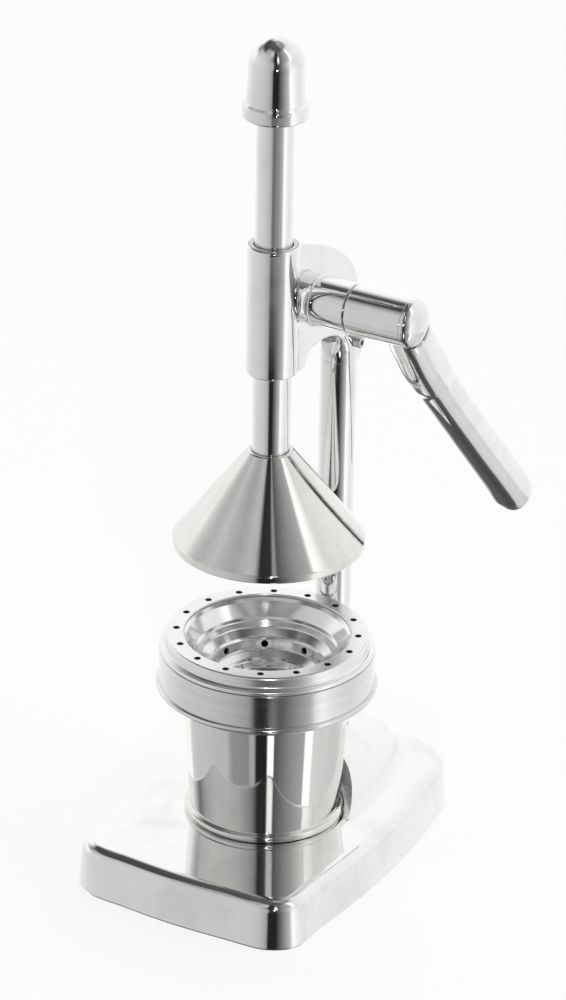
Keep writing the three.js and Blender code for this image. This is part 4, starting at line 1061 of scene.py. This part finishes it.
class OBJECT_OT_press_lever(PressOperator, bpy.types.Operator):
    """Lever: turning hub, arm, end cap and set screw"""

    bl_idname = "object.press_lever"
    bl_label = "Lever"
    # Share of the arm's length, shares of its width and depth, and how square the section is
    sections = (
        (0, 0.9, 1, 2.3), (0.1, 1, 1.1, 2.4), (0.2, 1.03, 1.14, 2.5), (0.255, 1.01, 1.11, 2.5),
        (0.29, 0.97, 1.02, 2.5), (0.42, 0.965, 1, 2.5), (0.65, 0.985, 1, 2.5), (0.85, 1.035, 1.01, 2.5),
        (0.94, 1.065, 1.03, 2.5), (0.975, 1.02, 0.98, 2.5), (0.993, 0.88, 0.84, 2.4), (1, 0.66, 0.63, 2.3))
    line = ((0, 0), (0.155, -0.209), (0.374, -0.452), (0.586, -0.679), (0.672, -0.774))
    tip_stops = (0.955, 0.966, 0.975, 0.982, 0.988, 0.993, 0.9965, 1.0)

    def section(self, at):
        for (a, *first), (b, *second) in zip(self.sections, self.sections[1:]):
            if at <= b:
                t = (at - a) / (b - a)
                t = t * t * (3 - 2 * t)
                return [p + (q - p) * t for p, q in zip(first, second)]
        return list(self.sections[-1][1:])

    def arm(self, size, head):
        """Arm as a loft over rounded squares along its line, with a pole at its tip."""
        middle = through([Vector((y * size.reach, z * size.reach)) for y, z in self.line], 60)
        travelled = [0.0]
        for p, q in zip(middle, middle[1:]):
            travelled.append(travelled[-1] + (q - p).length)
        sides = 56
        turns = [(math.cos(2 * math.pi * i / sides), math.sin(2 * math.pi * i / sides)) for i in range(sides)]
        rings = []
        for at in (*(k / 90 for k in range(86)), *self.tip_stops):
            far = at * travelled[-1]
            k = min(range(len(travelled)), key=lambda i: abs(travelled[i] - far))
            ahead, behind = middle[min(k + 1, len(middle) - 1)], middle[max(k - 1, 0)]
            along = (ahead - behind).normalized()
            place = middle[k] + along * (far - travelled[k])
            wide, deep, square = self.section(at)
            ring = []
            for c, s in turns:
                reach = (abs(c) ** square + abs(s) ** square) ** (-1 / square)
                across = place + Vector((-along.y, along.x)) * reach * s * deep * size.depth / 2
                ring.append(Vector((size.centre + reach * c * wide * size.width / 2,
                                    across.x + head.barrel_behind, across.y + head.barrel_level)))
            rings.append(ring)
        tip = place + along * 0.6 * mm
        pole = Vector((size.centre, tip.x + head.barrel_behind, tip.y + head.barrel_level))
        return loft("arm", rings, (None, pole))

    def screw_blank(self, name, head, radius, start, end, sides):
        """Round blank that stands out of the hub's back."""
        middle = (low("hub_screw").x + high("hub_screw").x) / 2
        blank = pin(name, radius, start, end, sides)
        blank.data.transform(Matrix.Translation((middle, head.barrel_behind, head.barrel_level))
                             @ Matrix.Rotation(-math.pi / 2, 4, "X"))
        return blank

    def cap(self, head, barrel):
        foot, radius = head.hub_end + 0.06 * mm, head.barrel_radius
        spigot, spigot_length = 8 * mm, 5 * mm
        crown = foot + 0.8 * mm
        profile = rounded([(0, foot - spigot_length, 0), (spigot, foot - spigot_length, 0.4 * mm),
                           (spigot, foot, 0), (radius, foot, 0.2 * mm), (radius, crown, 0)])
        profile += dome(radius, crown, head.cap_end, 32)
        cap = lathe("hub_cap_plated", profile, 128, along_barrel=barrel)
        dress(cap, "lever", "Plated casting", "hub_cap")

    def build(self, size):
        head = size.head
        barrel = (head.barrel_behind, head.barrel_level)
        start, end, radius = head.boss_end + 1.04 * mm, head.hub_end, head.barrel_radius
        hub = lathe("lever_arm_plated", rounded([
            (0, start, 0), (radius, start, 0.45 * mm), (radius, end, 0.2 * mm), (0, end, 0)]),
            128, along_barrel=barrel)
        arm = self.arm(size.lever, head)
        clear = pin("clear", radius + 0.3 * mm, end, head.cap_end + overrun, 112, along_barrel=barrel)
        cut(arm, clear)
        join(hub, arm)
        shaft = pin("shaft", spigot_bore, start - overrun, end + overrun, 64, along_barrel=barrel)
        cap_hole, cap_reach, screw_hole = 8.12 * mm, 5.12 * mm, 2.72 * mm
        seat = pin("seat", cap_hole, end - cap_reach, end + overrun, 64, along_barrel=barrel)
        hole = self.screw_blank("hole", head, screw_hole, 4 * mm, 16 * mm, 40)
        cut(hub, shaft, seat, hole)
        dress(hub, "lever", "Plated casting", "lever_arm")
        self.cap(head, barrel)
        screw_radius, screw_start, screw_end, key_radius, key_start = (
            2.6 * mm, 6.12 * mm, 12.12 * mm, 1.3 * mm, 9.5 * mm)
        screw = self.screw_blank("hub_screw_turned", head, screw_radius, screw_start, screw_end, 40)
        cut(screw, self.screw_blank("key", head, key_radius, key_start, 14 * mm, 6))
        dress(screw, "lever", "Machined steel", "hub_screw")


def lip_level(cup, radius):
    """Level of the upper face of the cup's outward lip at a radius."""
    lip_slope = 0.39
    return cup.shoulder + cup.wall + lip_slope * (radius - cup.body_radius)


class OBJECT_OT_press_cup(PressOperator, bpy.types.Operator):
    """Cup: tapered beaker with a foot bead and an outward lip"""

    bl_idname = "object.press_cup"
    bl_label = "Cup"

    def build(self, size):
        cup = size.cup
        wall, foot, body, bottom = cup.wall, cup.foot, cup.body_radius, cup.bottom_radius
        bead = 2.2 * mm
        bead_middle = cup.foot_radius - bead
        bead_top = foot + 2 * bead
        lip = body + 3 * mm
        inside, floor = body - wall, foot + 2 * wall
        underside = rounded([(0, foot + wall, 0), (bottom - 2 * wall, foot + wall, 1.5 * mm),
                             (bead_middle - 0.8 * mm, foot, 0.8 * mm), (bead_middle, foot, 0)])
        beads = [Vector((bead_middle + bead * math.sin(a), foot + bead - bead * math.cos(a)))
                 for a in (math.radians(15 * k) for k in range(12))]
        rest = rounded([
            (bead_middle + 0.4 * mm, bead_top - 0.1 * mm, 0), (bottom, bead_top + 0.5 * mm, 0.5 * mm),
            (body, cup.shoulder, 1.2 * mm), (lip, lip_level(cup, lip) - wall, 0.2 * mm),
            (lip, lip_level(cup, lip), 0.3 * mm), (inside, lip_level(cup, inside), 1.0 * mm),
            (bottom - wall, foot + 3 * wall, 2.5 * mm), (bottom - 3 * wall, floor, 1.5 * mm), (0, floor, 0)])
        piece = lathe("cup_body_polished", underside + beads + rest, 160)
        dress(piece, "cup", "Polished steel", "cup_body", crease=55)


class OBJECT_OT_press_collar(PressOperator, bpy.types.Operator):
    """Collar: brushed band on the cup's lip, with a rolled bead at its foot"""

    bl_idname = "object.press_collar"
    bl_label = "Collar"

    def build(self, size):
        cup = size.cup
        wall, outer, bead = cup.wall, cup.mouth_radius, cup.bead_radius
        band = outer - 1.9 * mm
        rim = outer - 3.2 * mm
        inner = cup.body_radius - wall
        floors = {radius: lip_level(cup, radius) + fit_gap for radius in (inner, band, rim)}
        start = rounded([(inner, floors[inner], 0), (band, floors[band], 0.6 * mm),
                         (band, cup.bead_level - bead, 0)])
        middle = Vector((outer - 0.12 * mm, cup.bead_level))
        roll = [middle + Vector((bead * math.sin(a), -bead * math.cos(a)))
                for a in (math.radians(10 * k) for k in range(1, 17))]
        rest = rounded([(outer - 0.02 * mm, cup.bead_level + bead * 0.96, 0), (outer, cup.mouth, 0.45 * mm),
                        (rim, cup.mouth, 0.4 * mm), (rim, floors[rim] + wall, 1.0 * mm),
                        (inner, floors[inner] + wall, 0)])
        piece = lathe("cup_collar_brushed", start + roll + rest, 160, closed=True)
        dress(piece, "cup", "Brushed steel", "cup_collar", crease=45)


class OBJECT_OT_press_strainer(PressOperator, bpy.types.Operator):
    """Strainer: holed ring with a stepped edge, and the stepped bowl"""

    bl_idname = "object.press_strainer"
    bl_label = "Strainer"
    bowl_shares = ((0.965, 0.09), (0.86, 0.285), (0.825, 0.32), (0.8, 0.42), (0.7, 0.505), (0.675, 0.54),
                   (0.655, 0.69), (0.54, 0.755), (0.505, 0.79), (0.475, 0.88), (0.33, 0.965))

    def ring(self, size):
        top, rim, flange, sheet = size.top, size.rim_radius, size.flange_radius, 1.5 * mm
        seat = top - 8.6 * mm
        step = seat + 2.4 * mm
        skirt, skirt_foot = 51.8 * mm, top - 14 * mm
        hole_depth, hole_middle = 6 * mm, top - 0.8 * mm
        skirt_inner = skirt - sheet
        under = top - sheet
        piece = lathe("strainer_ring_satin", rounded([
            (rim, under, 0.3 * mm), (rim, top, 0.6 * mm), (flange, top, 1.1 * mm),
            (flange + 0.4 * mm, step + 0.8 * mm, 1.6 * mm), (flange + 1.6 * mm, step + 0.05 * mm, 0.6 * mm),
            (size.radius, step - 0.1 * mm, 0.8 * mm), (size.radius, seat, 0.5 * mm), (skirt, seat, 0.2 * mm),
            (skirt, skirt_foot, 0.3 * mm), (skirt_inner, skirt_foot, 0.3 * mm),
            (skirt_inner, under, 1.2 * mm)], closed=True), 160, closed=True)
        run_tree(piece, perforation_tree(), {
            "Count": size.hole_count, "Circle radius": size.hole_circle, "Hole radius": size.hole_radius,
            "Depth": hole_depth, "Level": hole_middle, "Start angle": size.hole_start, "Outward": 0.0,
            "Material": finish("Satin steel")})
        dress(piece, "strainer", "Satin steel", "strainer_ring")

    def bowl(self, size):
        rim, depth, wall, top = size.rim_radius, size.bowl_depth, size.bowl_wall, size.top
        inside = [Vector((out * rim, top - down * depth)) for out, down in self.bowl_shares]
        outside = []
        for i, point in enumerate(inside):
            along = (inside[min(i + 1, len(inside) - 1)] - inside[max(i - 1, 0)]).normalized()
            outside.append(point + Vector((-along.y, along.x)) * wall)
        lip, lip_radius, tier_round = top - 1.62 * mm, rim + 1.6 * mm, 1.6 * mm
        hole_circle, hole_depth, hole_level = 0.66 * rim, 0.5 * rim, top - 0.615 * depth
        soft = [(point.x, point.y, tier_round) for point in reversed(inside)]
        under = [(point.x, point.y, tier_round) for point in outside[1:]]
        piece = lathe("strainer_bowl_satin", rounded([
            (0, top - depth, 0), *soft, (rim, lip, 0.5 * mm), (lip_radius, lip, 0.2 * mm),
            (lip_radius, lip - wall, 0.2 * mm), (rim, lip - wall, 0.4 * mm), *under,
            (0, top - depth - wall, 0)]), 144)
        run_tree(piece, perforation_tree(), {
            "Count": size.bowl_hole_count, "Circle radius": hole_circle, "Hole radius": size.bowl_hole_radius,
            "Depth": hole_depth, "Level": hole_level, "Start angle": size.bowl_hole_start, "Outward": 1.0,
            "Material": finish("Pressed steel")})
        dress(piece, "strainer", "Pressed steel", "strainer_bowl")

    def build(self, size):
        self.ring(size.strainer)
        self.bowl(size.strainer)


class OBJECT_OT_press_inner(PressOperator, bpy.types.Operator):
    """Finishes of the nodes that are shown as the CAD model has them"""

    bl_idname = "object.press_inner"
    bl_label = "Inner pieces"
    coatings = {"base_pad": "Matt rubber", "post_bolt": "Machined steel", "post_washer": "Machined steel",
                "barrel_bush": "Bronze", "bell_washer": "Machined steel", "pinion_shaft": "Machined steel"}

    def build(self, size):
        for node, coating in self.coatings.items():
            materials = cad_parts[node].data.materials
            materials.clear()
            materials.append(finish(coating))


# Studio

def ramp(tree, factor, bands):
    """Brightness bands over a factor from 0 to 1: (place, brightness) pairs."""
    node = add(tree, "ShaderNodeValToRGB", {0: factor})
    elements = node.color_ramp.elements
    while len(elements) > 1:
        elements.remove(elements[-1])
    for i, (place, value) in enumerate(bands):
        element = elements[0] if i == 0 else elements.new(place)
        element.position = place
        element.color = (value, value, value, 1.0)
    return node.outputs[0]


class OBJECT_OT_press_studio(PressOperator, bpy.types.Operator):
    """Studio: floor, surroundings of light and dark panels, a small lamp and the camera"""

    bl_idname = "object.press_studio"
    bl_label = "Studio"
    # Rings of panels round the press, from underfoot to overhead: (degrees from the camera, brightness)
    left_panels = ((-180, 1.08), (-140, 0.98), (-100, 0.76), (-60, 0.67), (-40, 0.6))
    right_panels = ((40, 0.45), (48, 0.6), (55, 1.12), (63, 1.15), (80, 0.97), (100, 0.88), (120, 0.97),
                    (180, 1.08))
    low_panels = (*left_panels, (-25, 0.48), (-17, 0.36), (-12, 0.02), (7, 0.02), (20, 0.16), *right_panels)
    faded_panels = (*left_panels, (-25, 0.5), (-17, 0.42), (-12, 0.18), (2, 0.18), (7, 0.26), (20, 0.28),
                    *right_panels)
    panels = (
        ((-180, 0.08), (-140, 0.1), (-100, 0.14), (-20, 0.06), (60, 0.08), (110, 0.1), (150, 0.07),
         (180, 0.08)),
        ((-180, 0.12), (-170, 0.1), (-158, 0.12), (-150, 0.2), (-142, 0.4), (-115, 0.16), (-90, 0.35),
         (-60, 0.25), (-20, 0.05), (20, 0.05), (50, 0.4), (70, 0.72), (115, 0.72), (145, 0.3), (165, 0.16),
         (180, 0.12)),
        ((-180, 1.3), (-140, 1.3), (-134, 0.72), (-60, 0.6), (-50, 0.36), (-26, 0.3), (-22, 0.5), (-17, 0.46),
         (-14, 0.02), (2, 0.02), (3.5, 1.8), (10.5, 1.8), (12, 0.1), (45, 0.38), (58, 0.46), (60, 1.5),
         (70, 1.5), (73, 0.85), (110, 0.75), (135, 0.7), (150, 1.1), (180, 1.3)),
        low_panels, faded_panels, low_panels,
        ((-180, 1.1), (-113, 1.06), (-97, 0.79), (-60, 0.68), (-39, 0.6), (-14, 0.45), (-9, 0.03), (7, 0.05),
         (20, 0.2), (39, 0.5), (50, 0.8), (57, 1.06), (76, 0.9), (94, 0.92), (111, 1.0), (180, 1.1)),
        ((-180, 1.1), (-142, 1.1), (-126, 0.5), (-118, 0.22), (-104, 0.5), (-80, 0.66), (-60, 0.62),
         (-42, 0.55), (-21, 0.3), (-12, 0.03), (2, 0.03), (3.5, 1.3), (10.5, 1.3), (12, 0.1), (42, 0.4),
         (60, 0.6), (62, 1.4), (70, 1.3), (80, 0.9), (100, 0.97), (180, 1.1)),
        ((-180, 1.0), (-172, 0.95), (-162, 0.55), (-154, 0.18), (-144, 0.07), (-80, 0.07), (-73, 0.35),
         (-48, 0.46), (-29, 0.62), (-20, 0.55), (-13, 0.03), (4, 0.04), (6, 0.35), (10, 0.35), (12, 0.1),
         (38, 0.35), (57, 0.48), (62, 1.35), (72, 1.15), (84, 0.87), (110, 0.87), (150, 1.0), (180, 1.0)),
        ((-180, 0.4), (-150, 0.1), (40, 0.1), (65, 0.3), (125, 0.3), (150, 0.4), (180, 0.4)),
    )
    # Heights of the direction between which each ring fades into the next
    joins = ((-0.95, -0.9), (-0.835, -0.74), (-0.53, -0.49), (-0.41, -0.392), (-0.365, -0.352), (-0.12, 0.1),
             (0.3, 0.5), (0.6, 0.74), (0.84, 0.93))

    def floor(self, studio):
        """Floor that the camera sees pale, that takes shadows, and that the plating doesn't mirror."""
        bm = bmesh.new()
        bmesh.ops.create_grid(bm, x_segments=8, y_segments=8, size=studio.floor_size)
        mesh = bpy.data.meshes.new("Floor")
        bm.to_mesh(mesh)
        bm.free()
        floor = placed("Floor", mesh)
        material = bpy.data.materials.new("Pale floor")
        material.use_nodes = True
        tree = material.node_tree
        tree.nodes.remove(tree.nodes["Principled BSDF"])
        path = add(tree, "ShaderNodeLightPath").outputs
        card = add(tree, "ShaderNodeBsdfDiffuse", {"Color": (0.3, 0.3, 0.3, 1)}).outputs[0]
        glow = add(tree, "ShaderNodeEmission", {"Strength": 0.8}).outputs[0]
        clear = add(tree, "ShaderNodeBsdfTransparent").outputs[0]
        seen = add(tree, "ShaderNodeAddShader", {0: card, 1: glow}).outputs[0]
        kept = add(tree, "ShaderNodeMixShader", {0: path["Is Camera Ray"], 1: card, 2: seen}).outputs[0]
        done = add(tree, "ShaderNodeMixShader", {0: path["Is Glossy Ray"], 1: kept, 2: clear}).outputs[0]
        tree.links.new(done, tree.nodes["Material Output"].inputs["Surface"])
        mesh.materials.append(material)

    def surroundings(self, studio):
        """World of panel rings, turned with the camera, which the camera itself sees white."""
        world = bpy.data.worlds.new("Light and dark panels")
        bpy.context.scene.world = world
        world.use_nodes = True
        tree = world.node_tree
        swung = add(tree, "ShaderNodeMapping", {
            "Vector": add(tree, "ShaderNodeTexCoord").outputs["Generated"],
            "Rotation": (0.0, 0.0, -studio.azimuth)}, vector_type="POINT")
        parts = add(tree, "ShaderNodeSeparateXYZ", {0: swung.outputs[0]}).outputs
        angle = math_node(tree, "ARCTAN2", parts["X"], math_node(tree, "MULTIPLY", parts["Y"], -1.0))
        factor = math_node(tree, "MULTIPLY_ADD", angle, 1 / (2 * math.pi), 0.5)
        rings = [ramp(tree, factor, [(a / 360 + 0.5, v) for a, v in panels]) for panels in self.panels]
        bands = rings[0]
        for ring, (start, end) in zip(rings[1:], self.joins):
            bands = blend(tree, between(tree, parts["Z"], start, end), bands, ring)
        path = add(tree, "ShaderNodeLightPath").outputs
        plain = math_node(tree, "MAXIMUM", path["Is Camera Ray"], path["Is Transmission Ray"])
        background = tree.nodes["Background"].inputs
        tree.links.new(blend(tree, plain, bands, (1.0, 1.0, 1.0, 1.0)), background["Color"])
        background["Strength"].default_value = 1.0

    def camera(self, studio):
        """Camera of the photograph; returns the directions forward and right of it."""
        azimuth, elevation, roll = studio.azimuth, studio.elevation, studio.roll
        aim_aside, aim_level = -0.019992, 0.214056
        flat = math.cos(elevation)
        forward = Vector((-math.sin(azimuth) * flat, math.cos(azimuth) * flat, -math.sin(elevation)))
        right = Vector((math.cos(azimuth), math.sin(azimuth), 0.0))
        up = right.cross(forward)
        place = aim_aside * right + Vector((0.0, 0.0, aim_level)) - studio.distance * forward
        tilted_right = right * math.cos(roll) + up * math.sin(roll)
        tilted_up = up * math.cos(roll) - right * math.sin(roll)
        data = bpy.data.cameras.new("Camera")
        data.sensor_fit = "VERTICAL"
        data.sensor_height = 36.0
        data.lens = studio.lens
        data.shift_x, data.shift_y = 0.053, -0.0207
        data.clip_start, data.clip_end = 0.05, 50.0
        camera = placed("Camera", data)
        turned = Matrix((tilted_right, tilted_up, -forward)).transposed().to_4x4()
        camera.matrix_world = Matrix.Translation(place) @ turned
        bpy.context.scene.camera = camera
        return forward, right

    def lamp(self, studio, forward, right):
        """Small round lamp in front of the press, nearly level with the sleeve that it is aimed at."""
        target, distance, aside, above = Vector((0, 0, 0.35)), 1.3, 0.05, 0.05
        data = bpy.data.lights.new("Small lamp", "AREA")
        data.shape = "DISK"
        data.size = 0.05
        data.energy = studio.lamp_power
        lamp = placed("Small lamp", data)
        toward = Vector((-forward.x, -forward.y, 0)).normalized()
        direction = (toward + aside * right + Vector((0, 0, above))).normalized()
        turned = direction.to_track_quat("Z", "Y").to_matrix().to_4x4()
        lamp.matrix_world = Matrix.Translation(target + direction * distance) @ turned

    def build(self, size):
        studio = size.studio
        self.floor(studio)
        self.surroundings(studio)
        self.lamp(studio, *self.camera(studio))
        bpy.context.scene.view_settings.view_transform = "Standard"


pieces = (
    OBJECT_OT_press_base, OBJECT_OT_press_post, OBJECT_OT_press_head, OBJECT_OT_press_bearings,
    OBJECT_OT_press_ram, OBJECT_OT_press_knob, OBJECT_OT_press_bell, OBJECT_OT_press_cone,
    OBJECT_OT_press_lever, OBJECT_OT_press_cup, OBJECT_OT_press_collar, OBJECT_OT_press_strainer,
    OBJECT_OT_press_inner, OBJECT_OT_press_studio,
)
groups = {
    "base": BaseSizes, "column": ColumnSizes, "head": HeadSizes, "lever": LeverSizes, "bell": BellSizes,
    "cup": CupSizes, "strainer": StrainerSizes, "finishes": Finishes, "studio": StudioSettings,
}


class JuicePress(bpy.types.PropertyGroup):
    base: part("Base", "Sizes of the base", BaseSizes)
    column: part("Post and ram", "Sizes of the post, ram and knob", ColumnSizes)
    head: part("Head", "Sizes of the head and barrel", HeadSizes)
    lever: part("Lever", "Sizes of the lever's arm", LeverSizes)
    bell: part("Bell", "Sizes of the press bell and cone", BellSizes)
    cup: part("Cup", "Sizes of the cup and collar", CupSizes)
    strainer: part("Strainer", "Sizes of the strainer", StrainerSizes)
    finishes: part("Finishes", "Colours of the finishes", Finishes)
    studio: part("Studio", "Camera, floor and lamp", StudioSettings)


class VIEW3D_PT_juice_press(bpy.types.Panel):
    bl_label = "Juice Press"
    bl_space_type = "VIEW_3D"
    bl_region_type = "UI"
    bl_category = "Juice Press"

    def draw(self, context):
        layout = self.layout
        for name, group in groups.items():
            box = layout.box()
            box.label(text=JuicePress.bl_rna.properties[name].name)
            for label in group.__annotations__:
                box.prop(getattr(sizes(context), name), label)
        for piece in pieces:
            layout.operator(piece.bl_idname)


registered = (*groups.values(), JuicePress, *pieces, VIEW3D_PT_juice_press)


def register():
    for item in registered:
        bpy.utils.register_class(item)
    bpy.types.Scene.juice_press = PointerProperty(type=JuicePress)


def unregister():
    del bpy.types.Scene.juice_press
    for item in reversed(registered):
        bpy.utils.unregister_class(item)


def main():
    register()
    for piece in pieces:
        family, name = piece.bl_idname.split(".")
        getattr(getattr(bpy.ops, family), name)()


if __name__ == "__main__":
    main()
